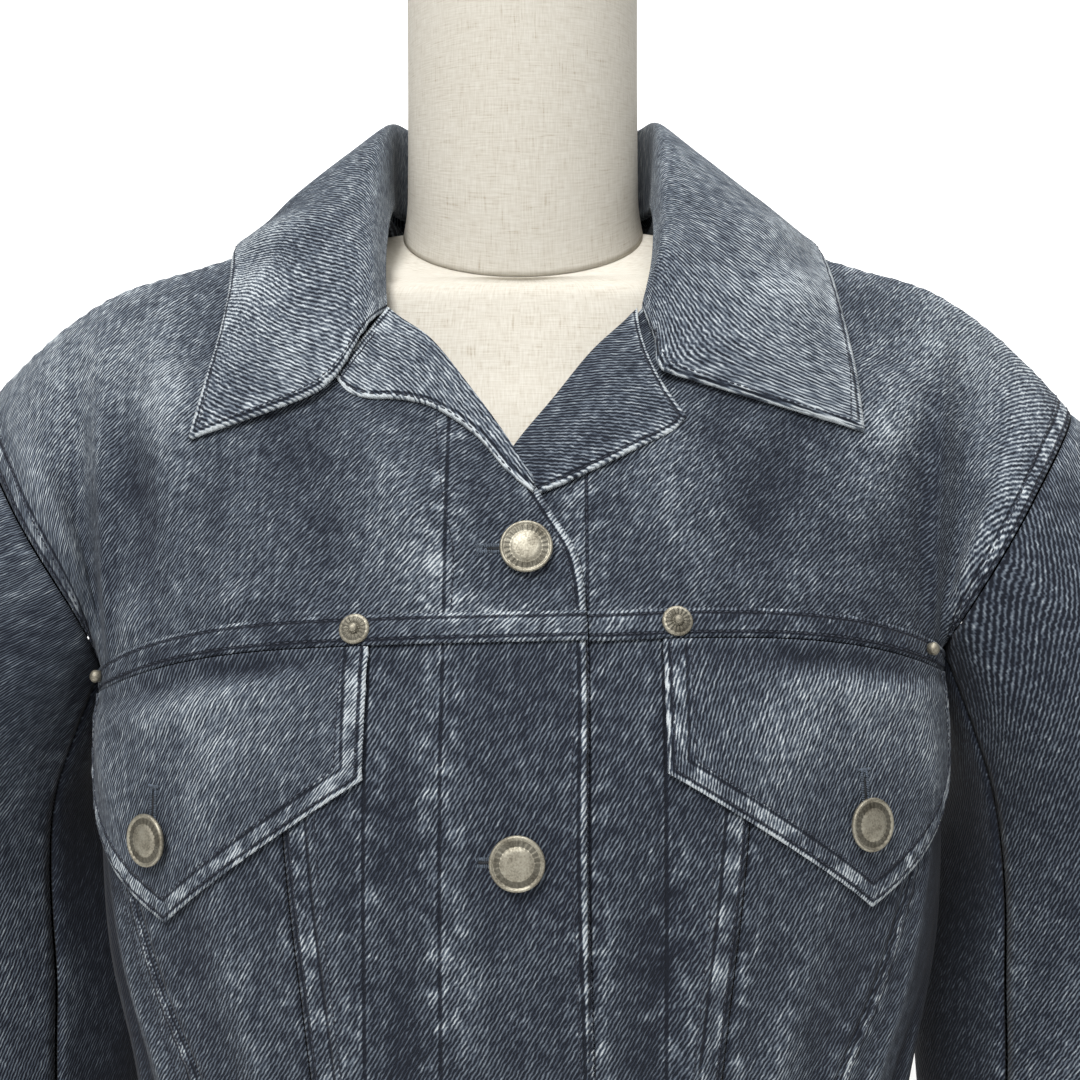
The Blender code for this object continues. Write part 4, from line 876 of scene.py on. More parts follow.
def linen(name, tone):
    """Cream plain weave with slubs both ways. tone scales its colour."""
    n = Nodes(name)
    uv = n.add("ShaderNodeUVMap", uv_map="cloth")
    across = n.noise(n.mapping(uv, 0, (*LINEN_YARN, 1)), 1, 2)
    along = n.noise(n.mapping(uv, 0, (*LINEN_YARN[::-1], 1)), 1, 2)
    slub_across, slub_along = (
        n.span(n.noise(n.mapping(uv, 0, (*scale, 1)), 1, 2), low, 0.72)
        for scale, low in zip(LINEN_SLUB, (0.60, 0.61))
    )
    clouds = n.noise(uv, 9, 2)
    value = n.math("ADD", n.math("MULTIPLY", across, 0.5), n.math("MULTIPLY", along, 0.5))
    slubs = n.math("MULTIPLY", n.math("ADD", slub_across, slub_along), 0.13)
    cloudy = n.math("ADD", value, n.math("MULTIPLY", n.math("SUBTRACT", clouds, 0.5), 0.18))
    value = n.math("SUBTRACT", cloudy, slubs)
    n.surface(Base_Color=n.ramp(value, *scaled(LINEN_STOPS, tone)), Roughness=0.92)
    n.bump(n.math("ADD", value, slubs), distance=0.0003, strength=0.6)
    return n.material


NICKEL_STOPS = ((0.36, (0.20, 0.18, 0.14)), (0.50, (0.36, 0.335, 0.27)), (0.66, (0.47, 0.445, 0.365)))


def nickel(name, shine):
    """Antique nickel. shine scales its colour."""
    n = Nodes(name)
    place = n.add("ShaderNodeTexCoord", output=3)
    fine = n.noise(place, 1400, 3)
    broad = n.noise(place, 160, 2)
    value = n.math("ADD", n.math("MULTIPLY", fine, 0.45), n.math("MULTIPLY", broad, 0.55))
    dullness = n.span(value, 0.35, 0.65, 0.66, 0.54)
    n.surface(Base_Color=n.ramp(value, *scaled(NICKEL_STOPS, shine)), Metallic=1.0, Roughness=dullness)
    n.bump(fine, distance=0.00008, strength=0.5)
    return n.material


def thread(name, colour):
    """Twisted sewing thread."""
    n = Nodes(name)
    place = n.add("ShaderNodeTexCoord", output=3)
    value = n.noise(place, 900, 2)
    pale = tuple(min(1.0, part * 2.6) for part in colour)
    n.surface(Base_Color=n.ramp(value, (0.40, colour), (0.72, pale)), Roughness=0.8)
    return n.material


def wood():
    """Turned wood with a satin finish, for the neck's cap."""
    n = Nodes("turned_wood")
    place = n.mapping(n.add("ShaderNodeTexCoord", output=3), 0, (14, 90, 14))
    grain = n.noise(place, 2, 4)
    dark, pale = (0.30, 0.18, 0.09), (0.55, 0.38, 0.22)
    n.surface(Base_Color=n.ramp(grain, (0.35, dark), (0.65, pale)), Roughness=0.42)
    n.bump(grain, distance=0.0002, strength=0.4)
    return n.material


def steel():
    """Satin steel, for the pole and the base."""
    n = Nodes("satin_steel")
    place = n.mapping(n.add("ShaderNodeTexCoord", output=3), 0, (60, 60, 900))
    brushed = n.noise(place, 1, 3)
    dark, pale = (0.47, 0.47, 0.48), (0.51, 0.51, 0.52)
    dullness = n.span(brushed, 0.3, 0.7, 0.36, 0.40)
    n.surface(Base_Color=n.ramp(brushed, (0.3, dark), (0.7, pale)), Metallic=1.0, Roughness=dullness)
    return n.material


# Making the pieces


def settle(obj, *nodes, slot=None):
    """The piece rides on the stand and stands for its solids."""
    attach(obj, "root")
    if nodes:
        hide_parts(*nodes)
    return obj


def in_scene(name, data):
    """A new object in the scene."""
    obj = bpy.data.objects.new(name, data)
    bpy.context.scene.collection.objects.link(obj)
    return obj


def new_object(name, bm, finish, smooth_faces=True):
    """A new object with a bmesh's shape."""
    mesh = bpy.data.meshes.new(name)
    bm.to_mesh(mesh)
    bm.free()
    if smooth_faces:
        mesh.shade_smooth()
    mesh.materials.append(finish)
    return in_scene(name, mesh)


def ripple(along, seed):
    """An uneven wave between -1 and 1 along a seam, from three waves in radians to the metre."""
    return (
        np.sin(along * 760 + 1.7 * seed) * 0.45
        + np.sin(along * 1130 + 0.6 * seed + 2.0 * np.sin(along * 190 + seed)) * 0.35
        + np.sin(along * 330 + 2.9 * seed) * 0.20
    )


# The relief along a sewn side: how high it stands, how far inside the edge it lies and its half-width.
RIDGE_HEIGHT, RIDGE_INSIDE, RIDGE_HALF = 0.00045, 0.0042, 0.0030  # over the turned edge
PUCKER_HEIGHT, PUCKER_INSIDE, PUCKER_HALF = 0.00042, 0.0050, 0.0055  # the ripples beside the stitching
EDGE_KEPT = 0.0025  # the relief starts within this distance of a sewn edge
LAID_KEPT = (0.003, 0.012)  # and between these of an edge that another piece covers

# Paler spots on the front, and darker ones below 0: a place seen from the front, its half-sizes and amount.
# The two darkest, just under the strips over the flaps' tops, are painted shadow.
Fade = namedtuple("Fade", "x z half_x half_z amount")
FRONT_SPOTS = (
    Fade(-0.205, 0.800, 0.060, 0.050, 0.29),
    Fade(0.205, 0.800, 0.060, 0.050, 0.30),
    Fade(-0.130, 0.838, 0.060, 0.016, 0.08),
    Fade(0.130, 0.838, 0.060, 0.016, 0.08),
    Fade(-0.045, 0.712, 0.050, 0.014, 0.09),
    Fade(0.070, 0.716, 0.035, 0.012, 0.05),
    Fade(-0.150, 0.712, 0.025, 0.020, 0.05),
    Fade(-0.004, 0.688, 0.034, 0.010, 0.22),
    Fade(0.034, 0.690, 0.010, 0.009, 0.16),
    Fade(0.095, 0.692, 0.040, 0.008, -0.08),
    Fade(-0.095, 0.692, 0.020, 0.008, -0.04),
    # painted shadow under the strips, over the flaps' tops
    Fade(-0.112, 0.6725, 0.046, 0.0048, -0.22),
    Fade(0.116, 0.6740, 0.050, 0.0048, -0.22),
    Fade(-0.120, 0.650, 0.040, 0.016, 0.06),
    Fade(0.125, 0.652, 0.035, 0.014, 0.07),
    Fade(-0.034, 0.655, 0.016, 0.016, 0.08),
    Fade(-0.032, 0.560, 0.012, 0.022, 0.07),
    Fade(0.000, 0.560, 0.010, 0.020, 0.08),
    Fade(0.055, 0.640, 0.012, 0.030, 0.05),
    Fade(-0.062, 0.580, 0.012, 0.040, -0.05),
    Fade(0.040, 0.600, 0.012, 0.060, -0.05),
)
SPOTS_BEFORE = 0.02  # the spots are on the cloth in front of this y

# Painted shade where a sleeve and the side of the body face each other: how much, and the shares of
# sideways in the cloth's direction between which it starts.
SHADE_HEIGHTS = (0.66, 0.71)
SLEEVE_SHADE, SLEEVE_INWARD = 0.45, (-0.97, -0.78)
SIDE_SHADE, SIDE_OUTWARD = 0.55, (0.72, 0.94)

# A piece's surface, whether it is turned over and the grid of its points, for what is sewn on it.
Panel = namedtuple("Panel", "point flip grid")
PANELS = {}

CREASE_TONE = 75.0  # how much paler the colour is for each metre that a crease stands out, and darker where it sinks in: worn ridges, and painted shade in the troughs
# Soft creases on single pieces, in shares of the piece: a place, half-sizes, how far the crease moves across
# for each unit up, and its depth in metres, above 0 outwards.
Crease = namedtuple("Crease", "across up half_across half_up lean depth")
CREASES = {
    "front_yoke_right": (
        Crease(0.200, 0.350, 0.045, 0.300, 0.10, 0.0023),
        Crease(0.320, 0.250, 0.040, 0.250, 0.16, -0.0019),
        Crease(0.550, 0.550, 0.060, 0.280, -0.20, 0.0023),
        Crease(0.660, 0.400, 0.050, 0.300, 0.12, -0.0023),
        Crease(0.900, 0.450, 0.035, 0.400, 0.06, 0.0027),
        Crease(0.450, 0.090, 0.060, 0.035, 0.00, 0.0019),
        Crease(0.700, 0.100, 0.050, 0.035, 0.00, 0.0017),
    ),
    "front_yoke_left": (
        Crease(0.240, 0.400, 0.045, 0.280, -0.12, 0.0021),
        Crease(0.400, 0.300, 0.045, 0.260, 0.18, -0.0019),
        Crease(0.600, 0.500, 0.055, 0.300, 0.20, 0.0023),
        Crease(0.740, 0.400, 0.050, 0.320, -0.05, -0.0025),
        Crease(0.910, 0.420, 0.035, 0.400, 0.05, 0.0027),
        Crease(0.350, 0.100, 0.060, 0.035, 0.00, 0.0017),
    ),
    "collar": (
        Crease(0.085, 0.780, 0.020, 0.160, 0.10, 0.0019),
        Crease(0.115, 0.720, 0.016, 0.180, 0.12, -0.0017),
        Crease(0.150, 0.750, 0.018, 0.200, 0.12, 0.0019),
        Crease(0.190, 0.700, 0.020, 0.200, 0.10, -0.0017),
        Crease(0.850, 0.720, 0.020, 0.200, -0.12, 0.0019),
        Crease(0.885, 0.760, 0.018, 0.180, -0.12, -0.0015),
        Crease(0.920, 0.740, 0.018, 0.180, -0.10, 0.0017),
        Crease(0.500, 0.750, 0.060, 0.200, 0.00, 0.0015),
    ),
    "pocket_flap_right": (
        Crease(0.400, 0.925, 0.360, 0.045, 0.00, -0.0019),
        Crease(0.450, 0.800, 0.340, 0.070, 0.00, 0.0019),
        Crease(0.800, 0.550, 0.100, 0.250, 0.20, 0.0019),
        Crease(0.350, 0.450, 0.090, 0.250, -0.15, 0.0015),
    ),
    "pocket_flap_left": (
        Crease(0.500, 0.925, 0.400, 0.045, 0.00, -0.0019),
        Crease(0.500, 0.800, 0.360, 0.070, 0.00, 0.0019),
        Crease(0.250, 0.500, 0.100, 0.280, 0.15, 0.0017),
        Crease(0.750, 0.500, 0.090, 0.250, -0.18, 0.0019),
    ),
    "centre_front_right": (
        Crease(0.360, 0.600, 0.060, 0.300, 0.05, 0.0019),
        Crease(0.600, 0.450, 0.070, 0.280, -0.08, -0.0019),
        Crease(0.840, 0.650, 0.060, 0.250, 0.06, 0.0023),
    ),
    "centre_front_left": (
        Crease(0.500, 0.550, 0.070, 0.300, 0.06, 0.0019),
        Crease(0.700, 0.700, 0.060, 0.220, -0.10, -0.0019),
        Crease(0.860, 0.500, 0.060, 0.280, 0.06, 0.0023),
    ),
    "mid_front_right": (
        Crease(0.350, 0.450, 0.120, 0.280, 0.10, 0.0027),
        Crease(0.680, 0.350, 0.120, 0.250, -0.10, -0.0023),
    ),
    "mid_front_left": (
        Crease(0.400, 0.450, 0.120, 0.260, -0.12, 0.0027),
        Crease(0.720, 0.320, 0.120, 0.250, 0.10, -0.0023),
    ),
    "side_panel_right": (
        Crease(0.140, 0.450, 0.040, 0.250, 0.10, 0.0027),
        Crease(0.280, 0.550, 0.040, 0.220, -0.16, -0.0027),
        Crease(0.550, 0.450, 0.050, 0.250, 0.10, 0.0027),
        Crease(0.780, 0.500, 0.050, 0.250, -0.10, -0.0023),
    ),
    "side_panel_left": (
        Crease(0.140, 0.520, 0.040, 0.250, -0.10, 0.0027),
        Crease(0.300, 0.450, 0.040, 0.220, 0.16, -0.0027),
        Crease(0.580, 0.500, 0.050, 0.250, -0.10, 0.0027),
        Crease(0.800, 0.420, 0.050, 0.250, 0.10, -0.0023),
    ),
    "back_yoke": (
        Crease(0.280, 0.450, 0.035, 0.350, 0.06, 0.0023),
        Crease(0.380, 0.400, 0.035, 0.300, -0.05, -0.0019),
        Crease(0.630, 0.420, 0.035, 0.320, 0.05, -0.0021),
        Crease(0.730, 0.480, 0.035, 0.340, -0.06, 0.0023),
    ),
    "back_centre": (
        Crease(0.250, 0.500, 0.060, 0.300, 0.08, 0.0023),
        Crease(0.480, 0.350, 0.070, 0.250, -0.06, -0.0023),
        Crease(0.740, 0.550, 0.060, 0.300, -0.08, 0.0023),
    ),
}
SLEEVE_CREASES = (
    Crease(0.300, 0.600, 0.040, 0.300, 0.05, 0.0027),
    Crease(0.420, 0.450, 0.045, 0.250, -0.10, -0.0027),
    Crease(0.600, 0.620, 0.045, 0.300, 0.08, 0.0030),
    Crease(0.740, 0.500, 0.045, 0.250, -0.14, -0.0027),
    Crease(0.840, 0.300, 0.060, 0.200, 0.25, 0.0027),
    Crease(0.160, 0.350, 0.050, 0.220, 0.12, 0.0023),
    Crease(0.500, 0.120, 0.140, 0.025, 0.10, -0.0023),
    Crease(0.450, 0.180, 0.160, 0.030, -0.12, 0.0023),
)


def crease_depth(name, across, up):
    """How far a piece's own creases push it out."""
    rows = SLEEVE_CREASES if name.startswith("upper_sleeve") else CREASES.get(name, ())
    total = np.zeros_like(across)
    for crease in rows:
        offset = (across - crease.across - crease.lean * (up - crease.up)) / crease.half_across
        total = total + crease.depth * np.exp(-(offset**2) - ((up - crease.up) / crease.half_up) ** 2)
    return total


def front_spots_and_shadow(points):
    """How much paler, or darker below 0, the colour is at points of the front, painted shadow under the strips
    included.
    """
    total = np.zeros(points.shape[:-1])
    for spot in FRONT_SPOTS:
        sideways, upwards = (points[..., 0] - spot.x) / spot.half_x, (points[..., 2] - spot.z) / spot.half_z
        total = total + spot.amount * np.exp(-(sideways**2 + upwards**2))
    return np.where(points[..., 1] < SPOTS_BEFORE, total, 0)


def gap_shade(name, grid, out):
    """Painted shade: how much darker the colour is made where a sleeve and the side of the body face each
    other.
    """
    outward = out[..., 0] * np.sign(grid[..., 0])
    under_arm = 1 - smooth(*SHADE_HEIGHTS, grid[..., 2])
    if "sleeve" in name:
        return -SLEEVE_SHADE * under_arm * (1 - smooth(*SLEEVE_INWARD, outward))
    if name.startswith("side_panel"):
        return -SIDE_SHADE * under_arm * smooth(*SIDE_OUTWARD, outward)
    return np.zeros(outward.shape)


def sample(grid, across, up):
    """Points of a grid of points at shares of its width and its height."""
    rows, columns = grid.shape[0] - 1, grid.shape[1] - 1
    x, y = np.clip(across, 0, 1) * columns, np.clip(up, 0, 1) * rows
    i, j = np.minimum(x.astype(int), columns - 1), np.minimum(y.astype(int), rows - 1)
    x, y = (x - i)[..., None], (y - j)[..., None]
    low = grid[j, i] * (1 - x) + grid[j, i + 1] * x
    high = grid[j + 1, i] * (1 - x) + grid[j + 1, i + 1] * x
    return low * (1 - y) + high * y


def shares(columns, rows):
    """The shares of a piece's width and height at each point of its grid."""
    return np.meshgrid(np.linspace(0, 1, columns + 1), np.linspace(0, 1, rows + 1))


def run(grid, axis):
    """Metres along the grid's rows or columns from their start."""
    steps = np.linalg.norm(np.diff(grid, axis=axis), axis=-1)
    return np.concatenate([np.zeros_like(np.take(steps, [0], axis)), np.cumsum(steps, axis)], axis=axis)


def side_distances(grid):
    """How far each point of a grid is from each side, by the first letter of the side's name."""
    u, v = run(grid, 1), run(grid, 0)
    return {"l": u, "r": u[:, -1:] - u, "b": v, "t": v[-1:] - v}


def seam_distances(grid, sides, seams, plackets):
    """How far each point is from a sewn or turned side, how far from any stitching and how far along it."""
    edge, along = np.full(grid.shape[:2], 1.0), np.zeros(grid.shape[:2])
    for number, side in enumerate(seams):
        along = np.where(sides[side] < edge, sides["b" if side in "lr" else "l"] + number, along)
        edge = np.minimum(edge, sides[side])
    sewn = edge
    for x in plackets:
        beside_row = np.abs(np.abs(grid[..., 0]) - x)
        along = np.where(beside_row < sewn, sides["b"] + x, along)
        sewn = np.minimum(sewn, beside_row)
    return edge, sewn, along


def pattern_places(grid, sides, even, way):
    """Where each point of a piece lies on the flat cloth that it is cut from."""
    u, v = sides["l"], sides["b"]
    across, up = shares(grid.shape[1] - 1, grid.shape[0] - 1)
    if even == "top":
        return u - u[:, -1:] / 2, v - v[-1:]
    if even == "roll":
        return u, v
    if even == "front":
        return u + way * grid[:, :1, 0], v
    if even == "bent":
        bend = COLLAR_BEND * (0.5 - across)
        radius = u[:, -1].mean() / COLLAR_BEND + up * v[-1].mean()
        return -radius * np.sin(bend), radius * np.cos(bend)
    return u - u[:, -1:] / 2, v


def set_uv(mesh, across, up):
    """UVs in metres from a pair of values for each point."""
    corner = np.zeros(len(mesh.loops), np.int32)
    mesh.loops.foreach_get("vertex_index", corner)
    pairs = np.stack([across[corner], up[corner]], axis=1).astype(np.float32)
    mesh.uv_layers["cloth"].uv.foreach_set("vector", pairs.ravel())


def weld_ends(mesh):
    """Joins the two ends of a piece that runs all the way round."""
    bm = bmesh.new()
    bm.from_mesh(mesh)
    bmesh.ops.remove_doubles(bm, verts=bm.verts, dist=WELD)
    bm.to_mesh(mesh)
    bm.free()


def cloth(
    name,
    columns,
    rows,
    point,
    finish,
    slot,
    thickness=WALL,
    flip=False,
    wrap=False,
    seams="lrbt",
    stitched="",
    laid="",
    plackets=(),
    even="",
):
    """A piece of cloth. seams names the sides that are sewn or turned: left, right, bottom and top.

    Its UVs are metres of cloth, and its points know how far they are from such a side and from its rows of
    stitches. stitched names the sides that rows follow, laid the sides that another piece covers, and
    plackets are the x of rows down it. even says how its UVs run: from the front centre, from the top or the
    roll, along a bend, or without it from its middle.
    """
    bm = bmesh.new()
    bmesh.ops.create_grid(bm, x_segments=columns, y_segments=rows, size=0.5)
    bm.loops.layers.uv.new("cloth")
    flat = np.array([v.co for v in bm.verts])
    across, up = flat[:, 0] + 0.5, flat[:, 1] + 0.5
    i, j = np.rint(across * columns).astype(int), np.rint(up * rows).astype(int)
    grid = np.zeros((rows + 1, columns + 1, 3))
    grid[j, i] = point(across, up)
    sides = side_distances(grid)
    edge, sewn, along = seam_distances(grid, sides, seams, plackets)
    way = -1 if flip else 1
    out = unit(np.cross(np.gradient(grid, axis=1), np.gradient(grid, axis=0))) * way
    crease = crease_depth(name, *shares(columns, rows))
    ridge = RIDGE_HEIGHT * np.exp(-(((edge - RIDGE_INSIDE) / RIDGE_HALF) ** 2))
    pucker = PUCKER_HEIGHT * np.exp(-(((sewn - PUCKER_INSIDE) / PUCKER_HALF) ** 2)) * ripple(along, len(name))
    free = smooth(0.0, EDGE_KEPT, edge)
    for side in laid:
        free = free * smooth(*LAID_KEPT, sides[side])
    grid = grid + out * ((ridge + pucker + crease) * free)[..., None]
    PANELS[name] = Panel(point, flip, grid)

    if flip:
        bmesh.ops.reverse_faces(bm, faces=bm.faces)
    obj = new_object(f"{name}_cloth", bm, finish)
    mesh = obj.data
    mesh.vertices.foreach_set("co", grid[j, i].astype(np.float32).ravel())
    cut_across, cut_up = pattern_places(grid, sides, even, way)
    set_uv(mesh, (way * cut_across)[j, i], cut_up[j, i])
    far = edge + 1
    # The tone attribute per point: spots on the front, with painted shadow under the strips; crease tone, worn
    # ridges and painted shade in troughs; painted shade where sleeve and body face each other.
    fields = {
        "edge": edge,
        "sewn": sewn,
        "tone_and_shade": front_spots_and_shadow(grid) + CREASE_TONE * crease + gap_shade(name, grid, out),
        "hem": np.minimum.reduce([sides[side] for side in stitched]) if stitched else far,
        "front": sides["l"] if plackets else far,
        "centre": np.abs(grid[..., 0]) if plackets else far,
    }
    for title, values in fields.items():
        attribute = mesh.attributes.new(title, "FLOAT", "POINT")
        attribute.data.foreach_set("value", np.asarray(values[j, i], np.float32))
    if wrap:
        weld_ends(mesh)
    shell = obj.modifiers.new("wall", "SOLIDIFY")
    shell.thickness = thickness
    shell.offset = -1
    settle(obj, name, slot=slot)

    return obj


# Cloth pieces

FINISH = {
    "panel": denim("denim_panels", 60, -0.115, -0.40, 0.9, FRONT_PAIR, PLACKET_ROWS),
    "mid": denim("denim_mid_fronts", 60, -0.110, -0.40, 0.9),
    "side": denim("denim_sides", 57, -0.065, -0.30, 1.0, SIDE_PAIR),
    "yoke": denim("denim_yokes", 48, -0.030, -0.45, 0.9, PAIR, PLACKET_ROWS[:1]),
    "back": denim("denim_back", 57, 0.0, -0.40, 0.8, PAIR),
    "flap": denim("denim_flaps", 58, 0.025, 1.30, 1.0, FLAP_ROWS),
    "strip": denim("denim_strips", 50, -0.110, 0.15, 0.6, (STRIP_ROW,)),
    "collar": denim("denim_collar", 63, 0.165, 1.15, 0.8, (STRIP_ROW,)),
    "right_lapel": denim("denim_right_lapel", 94, 0.235, 1.50, 0.8, (TRIM_ROW,)),
    "left_lapel": denim("denim_left_lapel", 33, 0.000, 1.25, 0.8, (TRIM_ROW,)),
    "sleeve": denim("denim_sleeves", 60, -0.045, -0.30, 0.6, PAIR),
    "trim": denim("denim_trims", 57, 0.020, 1.00, 1.0, (TRIM_ROW,)),
}


def lower_panels():
    """The panels between the hem band and the yoke seams."""
    pieces = (
        ("centre_front", "edge", "front_seam", 46, 150, "panel", "r"),
        ("mid_front", "front_seam", "curved_seam", 30, 150, "mid", ""),
        ("side_panel", "curved_seam", "side_back", 76, 130, "side", "l"),
        ("back_side", "side_back", "back_seam", 34, 110, "back", "l"),
    )
    for side_name, side in SIDES:
        for name, start, end, columns, rows, finish, stitched in pieces:

            def point(across, up):
                place = lower_point(side, start, end, across, up)
                return on_front(side, *place) if start == "edge" else on_cloth(*place)

            cloth(
                f"{name}_{side_name}",
                columns,
                rows,
                point,
                FINISH[finish],
                "dark_denim",
                flip=side == RIGHT,
                stitched=stitched,
                laid="t" if "front" in name else "",
                plackets=PLACKET_ROWS if start == "edge" else (),
                even="front",
            )

    def back_centre(across, up):
        offset = 2 * across - 1
        side = np.where(offset < 0, RIGHT, LEFT)
        around = 2 * side
        for _ in range(SEAM_ROUNDS):
            height = panel_height(around, up)
            reach = 2 - read(SEAMS, height, "back_seam") - SEAM_GAP / 2 / GIRTH_SHARE
            around = side * (2 - np.abs(offset) * reach)
        return on_cloth(around, climb_of(around, height))

    cloth("back_centre", 64, 110, back_centre, FINISH["back"], "dark_denim", flip=True, stitched="lr")


def yokes():
    """The front yokes and the back one, up to the shoulder seams."""
    for side_name, side in SIDES:

        def point(across, up):
            climb = yoke_climb(up)
            first = edge_around(side, climb)
            last = side * (1 - SEAM_GAP / 2 / GIRTH_SHARE)
            return on_front(side, first + across * (last - first), climb)

        title = f"front_yoke_{side_name}"
        sewn = {"stitched": "r", "laid": "b", "plackets": PLACKET_ROWS[:1], "even": "front"}
        cloth(title, 116, 92, point, FINISH["yoke"], "washed_denim", flip=side == RIGHT, **sewn)

    def back(across, up):
        climb = yoke_climb(up)
        offset = (2 * across - 1) * (1 - SEAM_GAP / 2 / GIRTH_SHARE)
        return on_cloth(np.where(offset < 0, RIGHT, LEFT) * (2 - np.abs(offset)), climb)

    cloth("back_yoke", 120, 66, back, FINISH["yoke"], "washed_denim", flip=True, stitched="b")


def yoke_strips():
    """The welts that lie over the front yoke seams."""
    for side_name, side in SIDES:

        def point(across, up):
            below = (0.5 - up) * STRIP_WIDTH
            start = front_edge(RIGHT, YOKE_FRONT) + (0 if side == RIGHT else LAY_GAP)
            first = around_of(start, YOKE_FRONT)
            around = first + across * (side * STRIP_END - first)
            return on_front(side, around, strip_climb(around, below), LAY_GAP + WALL)

        name, finish = f"yoke_strip_{side_name}", FINISH["strip"]
        cloth(name, 130, 8, point, finish, "faded_denim", flip=side == RIGHT, stitched="bt")


def flap_foot(across):
    """How far a flap hangs below its strip."""
    corner = FLAP_INNER_FOOT + across * (FLAP_OUTER_FOOT - FLAP_INNER_FOOT)
    to_side = np.abs(2 * across - 1)
    return corner + (FLAP_POINT - corner) * (1 - to_side) + FLAP_BOW * np.sin(math.pi * to_side)


def pocket_flaps():
    """The pointed flaps that hang below the strips."""
    for side_name, side in SIDES:

        def point(across, up):
            around = side * (FLAP_INNER + across * (FLAP_OUTER - FLAP_INNER))
            below = STRIP_WIDTH / 2 + SEAM_GAP + (1 - up) * flap_foot(across)
            lift = LAY_GAP + DOUBLED + FLAP_PUFF * np.sin(math.pi * up)
            return on_cloth(around, strip_climb(around, below), lift)

        name, finish = f"pocket_flap_{side_name}", FINISH["flap"]
        sides = {"seams": "lrb", "stitched": "lrb", "even": "top"}
        cloth(name, 96, 52, point, finish, "faded_denim", DOUBLED, side == RIGHT, **sides)


def lapels():
    """The turned tops of the fronts, from the break to the collar."""
    for side_name, side in SIDES:

        def point(across, up):
            up = inset(up, LAPEL_MARGIN)
            name = edge_name(side)
            height = BREAK_HEIGHT + up * (GORGE_HEIGHT - BREAK_HEIGHT)
            roll = front_edge(side, height)
            bow = side * read(LAPEL_EDGE, up, name + "_bow") * 4 * across * (1 - across)
            x = roll + across * (side * read(LAPEL_EDGE, up, name + "_x") - roll) + bow
            place = place_of(x, height + across * (read(LAPEL_EDGE, up, name + "_z") - height))
            return on_front(side, *place, LAY_GAP + DOUBLED + LAPEL_ROLL * (1 - across) ** 2)

        name = f"lapel_{side_name}"
        finish = FINISH[f"{side_name}_lapel"]
        sides = {"seams": "rt", "stitched": "rt", "even": "roll"}
        cloth(name, 34, 64, point, finish, "pale_denim", DOUBLED, flip=side == RIGHT, **sides)


def collar():
    """The collar with its stand."""

    def point(across, up):
        return collar_point(2 * across - 1, up)

    sides = {"seams": "lrt", "stitched": "lrt", "even": "bent"}
    cloth("collar", 250, 54, point, FINISH["collar"], "pale_denim", DOUBLED, **sides)


def sleeves():
    """The two panels of each sleeve and its cuff."""
    start = SEAM_GAP / SLEEVE_LENGTH
    panels = (
        ("upper_sleeve", SLEEVE_BACK_SEAM - 1, SLEEVE_FRONT_SEAM, 66),
        ("under_sleeve", SLEEVE_FRONT_SEAM, SLEEVE_BACK_SEAM, 34),
    )
    for side_name, side in SIDES:
        for name, first, last, columns in panels:

            def point(across, up):
                about = first + inset(across, TURN_GAP / 2 / ((last - first) * SLEEVE_GIRTH)) * (last - first)
                return sleeve_point(side, about, 1 - up * (1 - start))

            title, finish = f"{name}_{side_name}", FINISH["sleeve"]
            sewn = "l" if name == "upper_sleeve" else ""
            cloth(title, columns, 140, point, finish, "dark_denim", flip=side == LEFT, stitched=sewn)

        def cuff(across, up):
            placed = cuff_ring(side, across)
            placed[..., 2] = SLEEVE[-1].centre_z - SEAM_GAP - (1 - up) * CUFF_HEIGHT
            return placed

        title = f"cuff_{side_name}"
        sides = {"wrap": True, "seams": "bt", "stitched": "bt"}
        cloth(title, 96, 16, cuff, FINISH["trim"], "faded_denim", DOUBLED, side == LEFT, **sides)


def hem_band():
    """The band round the bottom, from the right front's edge to the left one's."""

    def point(across, up):
        height = HEM + up * (BAND - SEAM_GAP / 2)
        edge, under_edge = (around_of(front_edge(side, height), height) for side in (RIGHT, LEFT))
        place = edge - across * (4 + edge - under_edge)
        around = np.where(place < -2, place + 4, place)
        x = base_point(around, climb_of(around, height))[..., 0]
        step = np.where(across < 0.5, closure_lift(RIGHT, x, height), closure_lift(LEFT, x, height))
        return on_cloth(around, climb_of(around, height), np.where(np.abs(around) < 1, step, 0) * BAND_STEP)

    cloth("hem_band", 360, 14, point, FINISH["trim"], "faded_denim", DOUBLED, flip=True, stitched="bt")


# Sewing

STITCH_PITCH = 0.0029
STITCH_HALF = (0.00122, 0.00040, 0.00032)  # half-sizes along the row, across it and up
STITCH_LIFT = 0.0001  # how far a stitch's middle stands off the cloth
THREAD = thread("dark_thread", (0.014, 0.017, 0.026))

# How finely rows are worked out: points along any row, along one that turns corners, along the collar's, and
# for one beside a side, points along that side and across the piece
ROW_SAMPLES, CORNER_SAMPLES, COLLAR_SAMPLES = 500, 60, 120
BESIDE_ROWS, BESIDE_POINTS = 40, 24
PLACKET_HALVINGS = 18

# Rows that turn corners, as pairs of across and up on their piece
COLLAR_END, COLLAR_TOP, COLLAR_FOOT = 0.0045, 0.974, 0.30
LAPEL_ROW = ((0.90, 0.10), (0.945, 0.35), (0.955, 0.965), (0.30, 0.965))
FLAP_ROW_TOP = 0.995
FLAP_SLANT = 1.15  # how much further a row lies inside a flap's slanting edges, measured straight up


